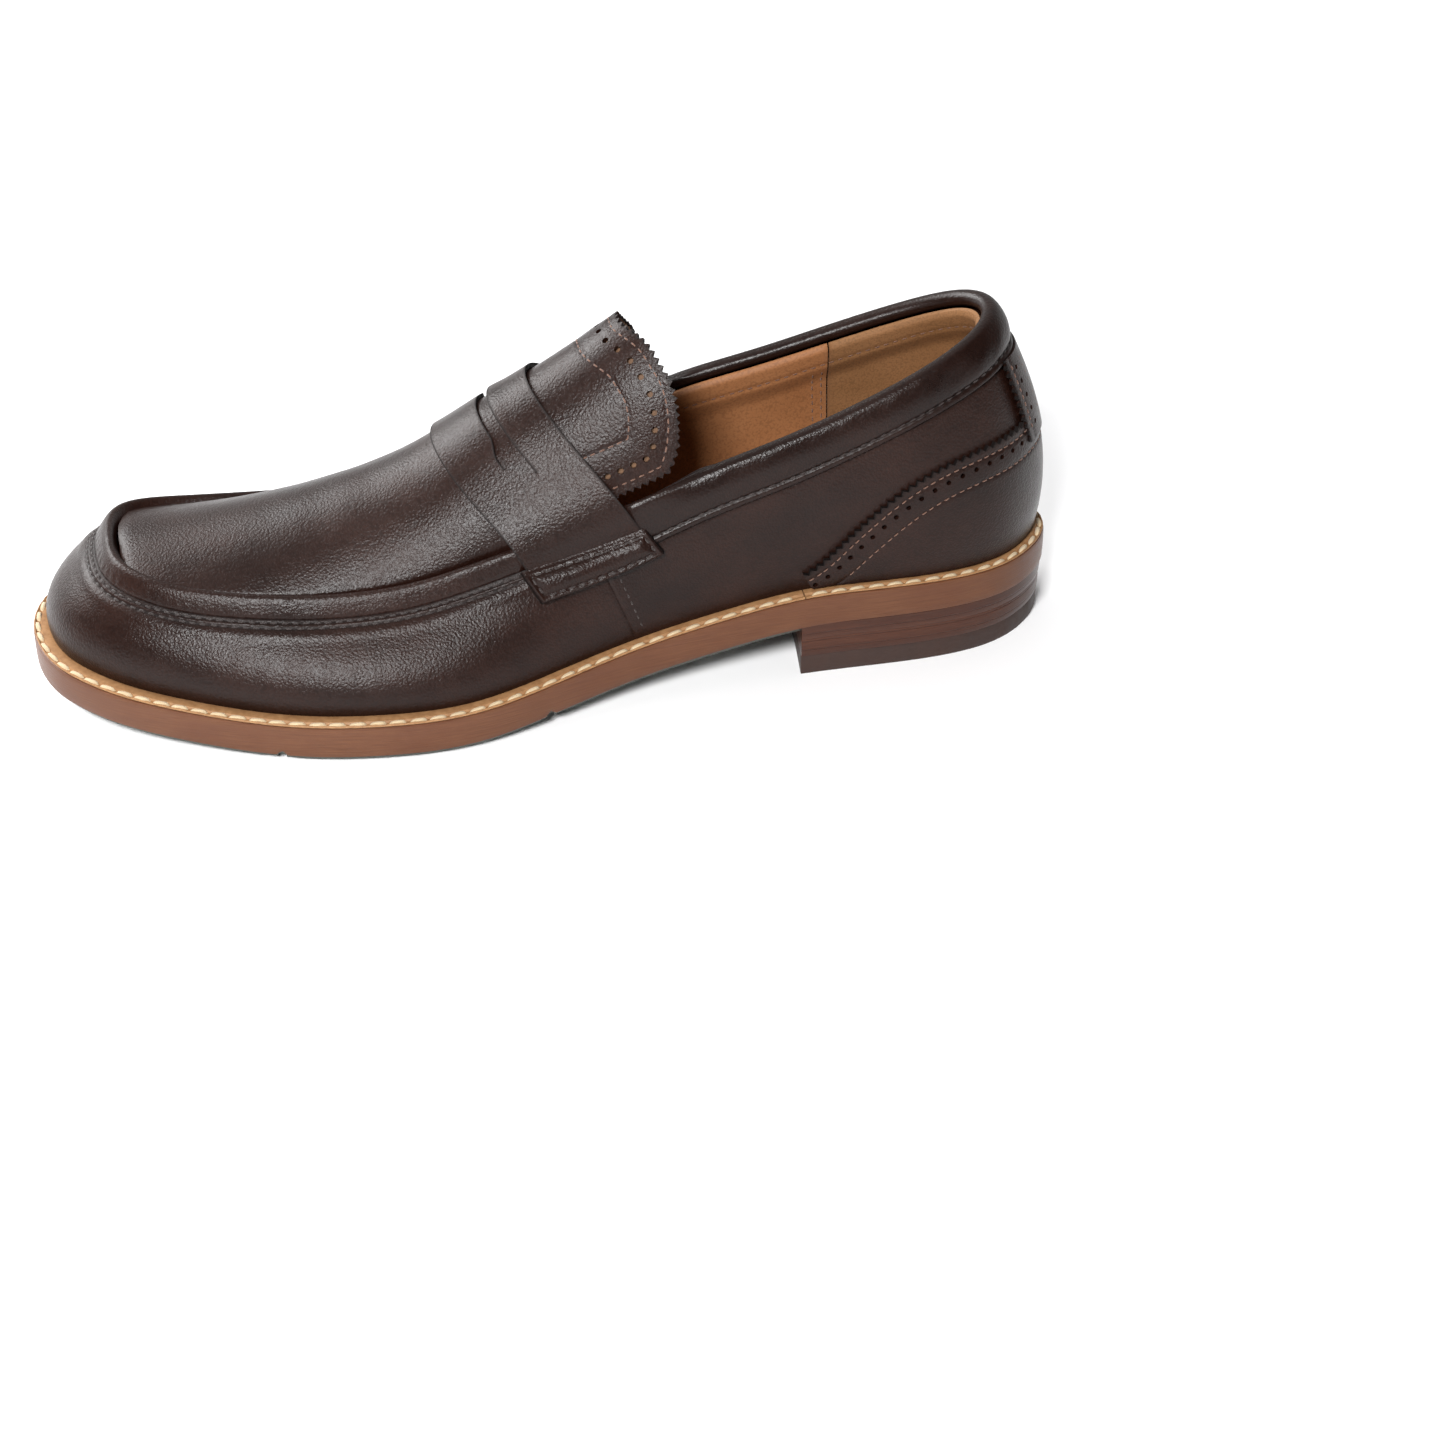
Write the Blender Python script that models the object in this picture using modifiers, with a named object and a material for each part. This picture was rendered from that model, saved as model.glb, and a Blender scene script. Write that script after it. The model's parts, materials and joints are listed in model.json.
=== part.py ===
"""Left penny loafer: welted sole, stacked heel, moc-toe upper, saddle strap and tongue.

Toe towards -X, lateral side towards -Y, floor at z = 0, metres.  The shoe is laid out in
millimetres along s (toe tip to heel back) and across y, then moved into the shared frame.
"""
import math

import bmesh
import bpy
import mathutils
import numpy as np

# ---- driving dimensions (millimetres; s runs from the toe tip to the heel back) ----
LENGTH = 300.0
Y_SHIFT = 4.15
STATIONS = [
    # feather s, y | top edge s, y, z | outward lean at the foot, inward lean at the top
    (6.3, 1.0, 28.0, 2.0, 44.8, 9, 62),
    (10.0, -15.0, 29.0, -8.0, 44.8, 10, 61),
    (18.5, -26.0, 32.0, -15.5, 44.3, 10, 58),
    (30.0, -34.5, 38.5, -21.5, 43.4, 10, 55),
    (45.0, -41.5, 49.0, -26.5, 42.0, 9, 52),
    (65.0, -48.5, 66.0, -30.5, 40.8, 8, 50),
    (88.0, -53.5, 87.0, -33.0, 40.3, 7, 48),
    (110.0, -54.5, 108.0, -33.7, 42.0, 4, 45),
    (130.0, -51.5, 126.0, -33.0, 46.3, 0, 39),
    (150.0, -44.5, 147.0, -32.0, 52.5, -2, 32),
    (172.0, -37.5, 171.0, -31.2, 60.0, 0, 20),
    (195.0, -33.0, 193.0, -30.3, 68.6, 4, 12),
    (218.0, -30.0, 215.0, -28.8, 75.6, 8, 10),
    (240.0, -28.5, 238.0, -26.2, 83.8, 12, 12),
    (260.0, -27.0, 257.0, -22.3, 91.3, 14, 17),
    (277.0, -22.5, 270.0, -16.3, 96.5, 14, 23),
    (289.0, -13.5, 277.3, -8.5, 99.0, 13, 26),
    (295.3, 0.0, 279.8, 0.0, 99.8, 13, 27),
    (289.0, 13.8, 277.3, 8.3, 98.8, 13, 26),
    (277.0, 22.8, 270.0, 15.3, 95.6, 14, 23),
    (260.0, 27.5, 257.0, 20.6, 90.2, 15, 17),
    (240.0, 28.5, 238.0, 23.4, 83.6, 15, 12),
    (218.0, 27.5, 215.0, 25.2, 76.2, 14, 9),
    (195.0, 26.5, 193.0, 26.6, 69.6, 13, 9),
    (172.0, 27.5, 171.0, 27.6, 60.6, 12, 14),
    (150.0, 31.5, 147.0, 28.3, 52.5, 10, 26),
    (130.0, 37.5, 126.0, 28.7, 45.4, 8, 36),
    (110.0, 43.0, 108.0, 28.6, 40.8, 8, 43),
    (88.0, 46.0, 87.0, 28.3, 38.6, 8, 48),
    (65.0, 44.0, 66.0, 27.6, 38.8, 9, 50),
    (45.0, 38.5, 49.0, 25.8, 40.2, 9, 52),
    (30.0, 32.5, 38.0, 23.0, 41.9, 9, 55),
    (18.5, 25.5, 31.5, 18.5, 43.4, 9, 58),
    (10.0, 16.0, 28.5, 11.5, 44.3, 9, 61),
]
HALF = 17.0
FULL = 34.0
ROOT_LINE = [(0, 11.0), (10, 9.6), (20, 8.5), (30, 7.5), (45, 6.1), (60, 4.9), (72, 4.2), (80, 4.0),
             (95, 4.0), (110, 4.0), (122, 4.4), (135, 5.6), (150, 7.5), (165, 9.8), (180, 12.2),
             (195, 14.5), (210, 16.7), (225, 18.2), (240, 18.5), (270, 18.5), (300, 18.5)]
CREST = [(20, 44.5), (30, 46.2), (40, 47.2), (50, 48.5), (60, 50.2), (70, 52.2), (80, 54.6), (94, 58.6),
         (105, 62.4), (116, 67.5), (130, 76.0), (145, 85.3), (157, 92.8), (170, 101.5), (190, 114.0)]
LEAN = [(0, 1.0), (60, 1.05), (100, 1.15), (130, 1.25), (160, 1.3), (200, 1.3)]
SLOPE = math.radians(33.0)


def spline_table(rows):
    """Second derivatives of a natural cubic through (x, y) rows."""
    x = np.array([r[0] for r in rows], float)
    y = np.array([r[1] for r in rows], float)
    n = len(x)
    m = np.eye(n)
    rhs = np.zeros(n)
    for i in range(1, n - 1):
        a, b = x[i] - x[i - 1], x[i + 1] - x[i]
        m[i, i - 1:i + 2] = a, 2 * (a + b), b
        rhs[i] = 6 * ((y[i + 1] - y[i]) / b - (y[i] - y[i - 1]) / a)
    return x, y, np.linalg.solve(m, rhs)


def along(table, q):
    """Value of a spline table at q (ends held)."""
    x, y, k = table
    q = np.clip(q, x[0], x[-1])
    i = np.clip(np.searchsorted(x, q) - 1, 0, len(x) - 2)
    h = x[i + 1] - x[i]
    a, b = (x[i + 1] - q) / h, (q - x[i]) / h
    return a * y[i] + b * y[i + 1] + ((a ** 3 - a) * k[i] + (b ** 3 - b) * k[i + 1]) * h * h / 6


def ring_tables(rows):
    """Closed splines, one per column, over the station number."""
    ext = [(k - FULL, rows[k]) for k in range(26, 34)] + list(enumerate(rows))
    ext += [(k + FULL, rows[k]) for k in range(0, 9)]
    return [spline_table([(k, r[c]) for k, r in ext]) for c in range(len(rows[0]))]


ROOT = spline_table(ROOT_LINE)
CROWN = spline_table(CREST)
RIM = ring_tables(STATIONS)


def root(s):
    """Height of the underside of the midsole at s."""
    return along(ROOT, s)


def wrap(t):
    return np.mod(np.asarray(t, float) + 4.0, FULL) - 4.0


def col(t, c):
    return along(RIM[c], wrap(t))


def plan_normal(t, c):
    """Outward unit normal in plan of the feather (c=0) or the top edge (c=2)."""
    d = 0.02
    ds = col(t + d, c) - col(t - d, c)
    dy = col(t + d, c + 1) - col(t - d, c + 1)
    n = np.stack([dy, -ds], -1)
    return n / np.linalg.norm(n, axis=-1, keepdims=True)


def outline(t, off):
    """Feather line moved out by off, in plan."""
    n = plan_normal(t, 0)
    return np.stack([col(t, 0), col(t, 1)], -1) + n * np.asarray(off, float)[..., None]


FOOT = 9.8


def wall_point(t, h):
    """Outer face of the side wall: h 0 at the feather, 1 at the top edge."""
    t = np.asarray(t, float)
    h = np.asarray(h, float)
    nf, nt = plan_normal(t, 0), plan_normal(t, 2)
    f = np.stack([col(t, 0), col(t, 1), root(col(t, 0)) + FOOT], -1)
    e = np.stack([col(t, 2), col(t, 3), col(t, 4)], -1)
    lo, ti = np.radians(col(t, 5)), np.radians(col(t, 6))
    size = e[..., 2] - f[..., 2]
    run = np.hypot(e[..., 0] - f[..., 0], e[..., 1] - f[..., 1])
    a = (0.36 * size + 0.12 * run)[..., None]
    b = (0.26 * size + 0.26 * run)[..., None]
    up = np.stack([nf[..., 0] * np.sin(lo), nf[..., 1] * np.sin(lo), np.cos(lo)], -1)
    ov = np.stack([-nt[..., 0] * np.sin(ti), -nt[..., 1] * np.sin(ti), np.cos(ti)], -1)
    p1, p2 = f + a * up, e - b * ov
    k = h[..., None]
    return (1 - k) ** 3 * f + 3 * k * (1 - k) ** 2 * p1 + 3 * k * k * (1 - k) * p2 + k ** 3 * e


def wall(t, h, n=0.0):
    """Side wall point moved n along its outward normal."""
    t, h = np.broadcast_arrays(np.asarray(t, float), np.asarray(h, float))
    p = wall_point(t, h)
    d, k = 0.03, 0.004
    du = wall_point(t + d, h) - wall_point(t - d, h)
    hv = np.clip(h, k, 1 - k)
    dv = wall_point(t, hv + k) - wall_point(t, hv - k)
    nn = np.cross(du, dv)
    nn /= np.linalg.norm(nn, axis=-1, keepdims=True)
    return p + nn * np.asarray(n, float)[..., None]


def wall_h(t, below=None, above=None):
    """h at a given distance below the top edge or above the feather, measured on the wall."""
    hs = np.linspace(0, 1, 41)
    t = np.asarray(t, float)
    p = wall_point(t[..., None] + 0 * hs, hs + 0 * t[..., None])
    d = np.concatenate([np.zeros(t.shape + (1,)), np.cumsum(np.linalg.norm(np.diff(p, axis=-2), axis=-1), -1)], -1)
    goal = (d[..., -1] - below) if below is not None else (above + 0 * d[..., -1])
    flat_d, flat_g = d.reshape(-1, 41), np.asarray(goal).reshape(-1)
    return np.array([np.interp(g, q, hs) for g, q in zip(flat_g, flat_d)]).reshape(t.shape)


def station(s, side, c=0, h=None):
    """Station number on a side (-1 lateral, 1 medial) where the line reaches s."""
    lo, hi = (0.0, HALF) if side < 0 else (FULL, HALF)
    for _ in range(40):
        m = 0.5 * (lo + hi)
        v = col(m, c) if h is None else wall_point(np.array(m), np.array(h))[0]
        if v < s:
            lo = m
        else:
            hi = m
    return 0.5 * (lo + hi)


def top_span(s):
    """Lateral y, medial y and height of the top edge at s."""
    tl = np.array([station(float(v), -1, 2) for v in np.ravel(s)]).reshape(np.shape(s))
    tm = np.array([station(float(v), 1, 2) for v in np.ravel(s)]).reshape(np.shape(s))
    return col(tl, 3), col(tm, 3), col(tl, 4), col(tm, 4)


SPAN_S = np.concatenate([28.0 + 12 * np.linspace(0.03, 1, 14) ** 2, np.arange(42, 206, 4.0)])
SPAN = top_span(SPAN_S)


def instep_point(s, u, sink=0.6):
    """Face of the apron plug and tongue: u -1 at the lateral edge, 1 at the medial edge."""
    s, u = np.broadcast_arrays(np.asarray(s, float), np.asarray(u, float))
    yl, ym, zl, zm = (np.interp(s, SPAN_S, q) for q in SPAN)
    k = 0.5 * (1 + u)
    y = yl + (ym - yl) * k
    base = zl + (zm - zl) * k - sink
    m = np.interp(s, [r[0] for r in LEAN], [r[1] for r in LEAN])
    rise = np.maximum(along(CROWN, s) - 0.5 * (zl + zm) + sink, 0.0)
    z = base + rise * np.maximum(1 - u * u, 0.0) ** (1 / m)
    return np.stack([s, y, z], -1)


def instep(s, u, n=0.0):
    s, u = np.broadcast_arrays(np.asarray(s, float), np.asarray(u, float))
    v = np.clip(u, -0.985, 0.985)
    du = instep_point(s, v + 0.01) - instep_point(s, v - 0.01)
    dv = instep_point(s + 0.6, v) - instep_point(s - 0.6, v)
    nn = np.cross(dv, du)
    nn /= np.linalg.norm(nn, axis=-1, keepdims=True)
    return instep_point(s, u) + nn * np.asarray(n, float)[..., None]


def instep_at(q, u):
    """s on the instep where the slanted band coordinate equals q."""
    q, u = np.broadcast_arrays(np.asarray(q, float), np.asarray(u, float))
    lo, hi = np.full(q.shape, 40.0), np.full(q.shape, 215.0)
    for _ in range(36):
        m = 0.5 * (lo + hi)
        p = instep_point(m, u)
        w = p[..., 0] * math.cos(SLOPE) + p[..., 2] * math.sin(SLOPE) < q
        lo, hi = np.where(w, m, lo), np.where(w, hi, m)
    return 0.5 * (lo + hi)


def wall_at(q, h, side):
    """Station on a side wall where the slanted band coordinate equals q."""
    q, h = np.broadcast_arrays(np.asarray(q, float), np.asarray(h, float))
    lo = np.full(q.shape, station(90.0, side))
    hi = np.full(q.shape, station(225.0, side))
    for _ in range(36):
        m = 0.5 * (lo + hi)
        p = wall_point(m, h)
        w = p[..., 0] * math.cos(SLOPE) + p[..., 2] * math.sin(SLOPE) < q
        lo, hi = np.where(w, m, lo), np.where(w, hi, m)
    return 0.5 * (lo + hi)


# ---- building helpers -------------------------------------------------------
def world(p):
    """Shoe millimetres to the shared frame in metres."""
    p = np.asarray(p, float)
    return np.stack([p[..., 0] - LENGTH / 2, p[..., 1] + Y_SHIFT, p[..., 2]], -1) / 1000.0


def collection(name):
    c = bpy.data.collections.new(name)
    bpy.context.scene.collection.children.link(c)
    return c


def material(name, rgb, rough, metal=0.0):
    m = bpy.data.materials.new(name)
    m.use_nodes = True
    b = m.node_tree.nodes["Principled BSDF"]
    b.inputs["Base Color"].default_value = (rgb[0], rgb[1], rgb[2], 1.0)
    b.inputs["Roughness"].default_value = rough
    b.inputs["Metallic"].default_value = metal
    m.diffuse_color = (rgb[0], rgb[1], rgb[2], 1.0)
    return m


def piece(name, verts, faces, look, coll=None, weld=True):
    """One named body from vertices in shoe millimetres."""
    me = bpy.data.meshes.new(name)
    me.from_pydata([tuple(v) for v in world(verts)], [], faces)
    bm = bmesh.new()
    bm.from_mesh(me)
    if weld:
        bmesh.ops.remove_doubles(bm, verts=bm.verts, dist=0.00002)
    bm.to_mesh(me)
    bm.free()
    ob = bpy.data.objects.new(name, me)
    me.materials.append(material("mat_" + name, *look))
    (coll or PARTS).objects.link(ob)
    for f in me.polygons:
        f.use_smooth = True
    return ob


def grid_faces(nu, nv, wrap_v=False, skip=None):
    out = []
    for i in range(nu - 1):
        for j in range(nv if wrap_v else nv - 1):
            if skip and skip(i, j):
                continue
            k = (j + 1) % nv
            out.append((i * nv + j, (i + 1) * nv + j, (i + 1) * nv + k, i * nv + k))
    return out


def sheet(name, pts, look, thick, skip=None, outward=False):
    """Leather, lining or board: an open surface thickened by Solidify."""
    nu, nv = pts.shape[:2]
    ob = piece(name, pts.reshape(-1, 3), grid_faces(nu, nv, skip=skip), look)
    so = ob.modifiers.new("thickness", 'SOLIDIFY')
    so.thickness = thick / 1000.0
    so.offset = 1.0 if outward else -1.0
    so.use_even_offset = True
    so.use_quality_normals = True
    return ob


def sweep(name, rings, look, coll=None):
    """Closed sections lofted along a path, with flat ends."""
    nu, nv = rings.shape[:2]
    faces = grid_faces(nu, nv, wrap_v=True)
    faces.append(tuple(range(nv)))
    faces.append(tuple((nu - 1) * nv + j for j in reversed(range(nv))))
    return face_out(piece(name, rings.reshape(-1, 3), faces, look, coll, weld=False))


def face_out(ob):
    """Make every face of a closed body point outwards."""
    bm = bmesh.new()
    bm.from_mesh(ob.data)
    bmesh.ops.recalc_face_normals(bm, faces=bm.faces)
    bm.to_mesh(ob.data)
    bm.free()
    return ob


def tube(path, radius, sides=5):
    """Round sections round a path (n, 3)."""
    path = np.asarray(path, float)
    t = np.gradient(path, axis=0)
    t /= np.linalg.norm(t, axis=1, keepdims=True)
    up = np.array([0.0, 0.0, 1.0])
    a = np.cross(up, t)
    a /= np.linalg.norm(a, axis=1, keepdims=True)
    b = np.cross(t, a)
    w = np.linspace(0, 2 * math.pi, sides, endpoint=False)
    return path[:, None] + radius * (a[:, None] * np.cos(w)[None, :, None] + b[:, None] * np.sin(w)[None, :, None])


def slab(name, left, right, low, high, look, cols=5, coll=None):
    """Flat-lying layer: rows run from the left edge to the right edge, low and high give heights."""
    n = len(left)
    k = np.linspace(0, 1, cols + 1)[None, :, None]
    plan = left[:, None] * (1 - k) + right[:, None] * k
    lo = np.concatenate([plan, low(plan[..., 0])[..., None]], -1)
    hi = np.concatenate([plan, high(plan[..., 0])[..., None]], -1)
    nv = cols + 1
    v = np.concatenate([lo.reshape(-1, 3), hi.reshape(-1, 3)])
    m = n * nv
    faces = [tuple(m + q for q in f) for f in grid_faces(n, nv)]
    faces += [tuple(reversed(f)) for f in grid_faces(n, nv)]
    for i in range(n - 1):
        a, b = i * nv, (i + 1) * nv
        faces.append((a, b, b + m, a + m))
        a, b = a + cols, b + cols
        faces.append((b, a, a + m, b + m))
    for j in range(cols):
        faces.append((j + 1, j, j + m, j + 1 + m))
        e = (n - 1) * nv + j
        faces.append((e, e + 1, e + 1 + m, e + m))
    ob = piece(name, v, faces, look, coll)
    bm = bmesh.new()
    bm.from_mesh(ob.data)
    bad = [f for f in bm.faces if f.calc_area() < 1e-12]
    bmesh.ops.delete(bm, geom=bad, context='FACES_ONLY')
    bmesh.ops.dissolve_degenerate(bm, dist=0.00002, edges=bm.edges)
    bmesh.ops.recalc_face_normals(bm, faces=bm.faces)
    bm.to_mesh(ob.data)
    bm.free()
    return ob


def rows(off_l, off_m, end_l, end_m, n, start_l=0.0, start_m=FULL):
    """Matched edge points on the lateral and medial outline."""
    r = np.linspace(0, 1, n)
    tl = start_l + (end_l - start_l) * r
    tm = start_m + (end_m - start_m) * r
    return outline(tl, off_l(tl)), outline(tm, off_m(tm))


def sole_off(t, cut=0.0):
    """Distance from the feather to the sole edge round the shoe."""
    ks = [0, 6, 10, 14, 17, 20, 24, 28, 34]
    ws = [6.3, 5.2, 4.3, 4.0, 4.7, 4.0, 4.2, 5.2, 6.3]
    return np.interp(np.mod(t, FULL), ks, ws) - cut


def full_slab(name, cut, low, high, look, n=31, cols=5):
    le, ri = rows(lambda t: sole_off(t, cut), lambda t: sole_off(t, cut), HALF, HALF, n)
    return slab(name, le, ri, low, high, look, cols)


def inner_slab(name, inset, s0, s1, low, high, look, n, cols=4):
    """Layer inside the shoe between s0 and s1 (None: run to the end)."""
    off = lambda t: np.full(np.shape(t), -inset)
    sl = 0.0 if s0 is None else station(s0, -1)
    sm = FULL if s0 is None else station(s0, 1)
    el = HALF if s1 is None else station(s1, -1)
    em = HALF if s1 is None else station(s1, 1)
    le, ri = rows(off, off, el, em, n, sl, sm)
    return slab(name, le, ri, low, high, look, cols)


def smooth01(x):
    x = np.clip(x, 0, 1)
    return x * x * (3 - 2 * x)


# ---- sole and heel ----------------------------------------------------------
def build_outsole():
    s_list = [33, 45, 58, 68.3, 70, 71.7, 82, 95, 108, 120, 132, 144.3, 146, 147.7, 160, 175, 190, 205, BREAST - 0.3]
    first = station(33, -1), station(33, 1)
    tl = list(np.linspace(0, first[0], 9))[:-1] + [station(s, -1) for s in s_list]
    tm = list(FULL + np.linspace(0, first[1] - FULL, 9))[:-1] + [station(s, 1) for s in s_list]
    tl, tm = np.array(tl), np.array(tm)
    le, ri = outline(tl, sole_off(tl, 1.0)), outline(tm, sole_off(tm, 1.0))
    groove = lambda s: 2.2 * (np.abs(s - 70) < 1.0) + 2.2 * (np.abs(s - 146) < 1.0)
    le[-1, 0] = ri[-1, 0] = BREAST - 0.3
    for k in (12, 20):
        le[k, 0] = ri[k, 0] = 70.0 if k == 12 else 146.0
    low = lambda s: np.maximum(root(s) - RUBBER, 0.0) + groove(s)
    slab("outsole", le, ri, low, lambda s: root(s) - 0.3, LOOK["rubber"], 5)


def build_heel():
    sl, sm = station(BREAST, -1), station(BREAST, 1)
    layers = [("heel_top_lift", 0.0, 6.0, 1.1, "toplift"), ("heel_lift_lower", 6.3, 11.9, 0.8, "stack"),
              ("heel_lift_upper", 12.2, None, 0.5, "stack")]
    for name, z0, z1, cut, look in layers:
        off = lambda t, c=cut: sole_off(t, c)
        le, ri = rows(off, off, HALF, HALF, 13, sl, sm)
        le[0, 0] = ri[0, 0] = BREAST
        high = (lambda s: root(s) - 0.3) if z1 is None else (lambda s, z=z1: 0 * s + z)
        ob = slab(name, le, ri, lambda s, z=z0: 0 * s + z, high, LOOK[look], 4)
        if name != "heel_top_lift":
            drill(ob)


def pin(name, x, y, z0, z1, r, sides, look, coll):
    w = np.linspace(0, 2 * math.pi, sides, endpoint=False)
    ring = np.stack([x + r * np.cos(w), y + r * np.sin(w)], -1)
    rings = np.array([[(p[0], p[1], z) for p in ring] for z in (z0, z1)])
    nv = sides
    faces = grid_faces(2, nv, wrap_v=True)
    faces += [tuple(reversed(range(nv))), tuple(nv + j for j in range(nv))]
    return face_out(piece(name, rings.reshape(-1, 3), faces, look, coll, weld=False))


def build_nails():
    for k, (x, y) in enumerate(NAILS):
        pin("heel_nail_%d" % (k + 1), x, y, 6.6, 17.7, 0.9, 8, LOOK["steel"], PARTS)
        pin("cut_nail_%d" % (k + 1), x, y, 4.0, 22.0, 1.25, 8, LOOK["steel"], CUTTERS)


def drill(ob):
    for k in range(len(NAILS)):
        m = ob.modifiers.new("nail_hole_%d" % (k + 1), 'BOOLEAN')
        m.operation = 'DIFFERENCE'
        m.solver = 'EXACT'
        m.object = bpy.data.objects["cut_nail_%d" % (k + 1)]


def build_sole_layers():
    full_slab("midsole", 0.0, lambda s: root(s), lambda s: root(s) + 6.4, LOOK["sole"], 33, 5)
    inner_slab("cork_filler", 9.9, None, 150, lambda s: root(s) + 6.7, lambda s: root(s) + 8.1, LOOK["cork"], 15)
    inner_slab("insole_board", 4.8, None, None, lambda s: root(s) + 8.5, lambda s: root(s) + 11.0, LOOK["board"], 27)
    pad = lambda s: root(s) + 11.3 + 0.9 + 2.1 * smooth01((s - 214) / 25)
    inner_slab("heel_pad", 6.3, 214, None, lambda s: root(s) + 11.3, pad, LOOK["foam"], 10)
    lift = lambda s: root(s) + 11.3 + 3.4 * smooth01((s - 185) / 50)
    inner_slab("sock_lining", 5.2, None, None, lift, lambda s: lift(s) + 1.0, LOOK["sock"], 27)
    s = np.linspace(158, 236, 9)
    half = 7.5 - 1.5 * np.abs(s - 197) / 39
    slab("shank", np.stack([s, -half - 2], -1), np.stack([s, half - 2], -1), lambda q: root(q) + 6.8,
         lambda q: root(q) + 7.8, LOOK["steel"], 1)


def strip(name, t0, t1, n, profile, look, coll=None):
    """Sweep of a (outward, height above the midsole root) profile round the outline."""
    t = np.linspace(t0, t1, n)
    rings = np.zeros((n, len(profile), 3))
    for k, (o, z) in enumerate(profile):
        off = sole_off(t) + o if o < 0 else np.full(n, o)
        p = outline(t, off)
        rings[:, k] = np.concatenate([p, (root(p[:, 0]) + z)[:, None]], -1)
    return sweep(name, rings, look, coll)


def build_welt():
    tl, tm = station(BREAST + 0.5, -1), station(BREAST + 0.5, 1)
    welt = [(0.35, 6.75), (0.35, 8.9), (-2.5, 8.9), (-2.2, 8.1), (-1.3, 8.1), (-1.0, 8.9), (-0.5, 8.7), (-0.5, 6.75)]
    strip("welt", tm - FULL, tl, 46, welt, LOOK["welt"])
    rand = [(0.35, 6.75), (0.35, 8.6), (-0.9, 8.6), (-0.6, 8.2), (-0.6, 6.75)]
    strip("heel_rand", tl + 0.03, tm - 0.03, 25, rand, LOOK["welt"])
    t = np.linspace(tm - FULL + 0.1, tl - 0.1, 46)
    p = outline(t, sole_off(t) - 1.75)
    path = np.concatenate([p, (root(p[:, 0]) + 8.95)[:, None]], -1)
    sweep("welt_thread", tube(path, 0.42, 4), LOOK["thread_pale"])


# ---- uppers -----------------------------------------------------------------
MARGIN = [(9.0, 6.75), (6.0, 6.75), (3.3, 6.75), (1.35, 7.25), (0.35, 8.4)]


def upper_sheet(t0, t1, n, cols, top_gap, lasted=True, n_off=0.0, bottom=None):
    """Wall grid between two seams; t0 and t1 are functions of h."""
    hs = np.linspace(0, 1, cols)
    i = np.linspace(0, 1, n)[:, None]
    a, b = t0(hs)[None, :], t1(hs)[None, :]
    t = a + (b - a) * i
    gap = top_gap(t) if callable(top_gap) else top_gap + 0 * t
    h_top = wall_h(t, below=gap)
    h_low = 0.0 if bottom is None else wall_h(t, above=bottom + 0 * t)
    h = h_low + (h_top - h_low) * hs[None, :]
    pts = wall(t, h, n_off)
    if lasted:
        base = t[:, 0]
        under = []
        for inset, z in MARGIN:
            p = outline(base, np.full(n, -inset))
            under.append(np.concatenate([p, (root(p[:, 0]) + z)[:, None]], -1))
        pts = np.concatenate([np.stack(under, 1), pts], 1)
    return pts


def seam(s_low, s_high, side):
    """Station along a slanted seam as a function of h."""
    def f(h):
        h = np.atleast_1d(np.asarray(h, float))
        v = [station(s_low + (s_high - s_low) * q, side, h=min(q, 0.97)) for q in h]
        return np.array(v) - (FULL if side > 0 else 0)
    return f


def shift(f, d):
    return lambda h: f(h) + d


def level(v):
    return lambda h: np.full(np.shape(h), float(v))


def build_upper():
    lat, med = seam(172.5, 158, -1), seam(172.5, 158, 1)
    under_strap = 6.7
    sheet("vamp", upper_sheet(med, lat, 36, 7, under_strap), LOOK["leather"], 1.4)
    sheet("quarter_lateral", upper_sheet(shift(lat, 0.035), level(HALF - 0.03), 14, 7, 7.0), LOOK["leather"], 1.4)
    sheet("quarter_medial", upper_sheet(level(HALF + 0.03), shift(med, FULL - 0.035), 14, 7, 7.0),
          LOOK["leather"], 1.4)


def build_plug():
    u = np.linspace(-0.975, 0.975, 11)
    f = np.concatenate([[0, 0.02, 0.05], np.linspace(0.1, 1, 13)])
    end = instep_at(171.0 + 5 * u * u, u)
    s = 29.4 + (end[None, :] - 29.4) * f[:, None]
    sheet("apron_plug", instep(s, u[None, :]), LOOK["leather"], 1.3)
    v = np.linspace(-0.86, 0.86, 9)
    end = instep_at(171.0 + 5 * v * v, v)
    s = 37.0 + (end[None, :] - 37.0) * np.linspace(0, 1, 13)[:, None]
    sheet("plug_lining", instep(s, v[None, :], -2.2), LOOK["lining"], 0.8)


RIDGE = [(0.4, -0.9), (0.35, 0.7), (1.4, 2.0), (3.4, 2.3), (5.3, 1.3), (6.2, 0.1), (5.8, -1.1)]


def on_wall(t, d, n):
    return wall(t, wall_h(t, below=d + 0 * t), n)


def build_ridge():
    t = np.linspace(station(152, 1, 2) - FULL, station(152, -1, 2), 36)
    rings = np.stack([on_wall(t, d, n) for d, n in RIDGE], 1)[:, ::-1]
    ob = piece("apron_ridge", rings.reshape(-1, 3), grid_faces(len(t), len(RIDGE), wrap_v=True), LOOK["leather"],
               weld=False)
    so = ob.modifiers.new("thickness", 'SOLIDIFY')
    so.thickness = 0.0007
    so.offset = -1.0
    core = on_wall(t, 3.1, 0.55)
    sweep("ridge_cord", tube(core, 0.6, 6), LOOK["cord"])
    t = np.linspace(station(133, 1, 2) - FULL, station(133, -1, 2), 34)
    for k, d in enumerate((8.0, 9.6)):
        sweep("apron_thread_%d" % (k + 1), tube(on_wall(t, d, 0.7), 0.28, 4), LOOK["thread_dark"])


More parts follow.
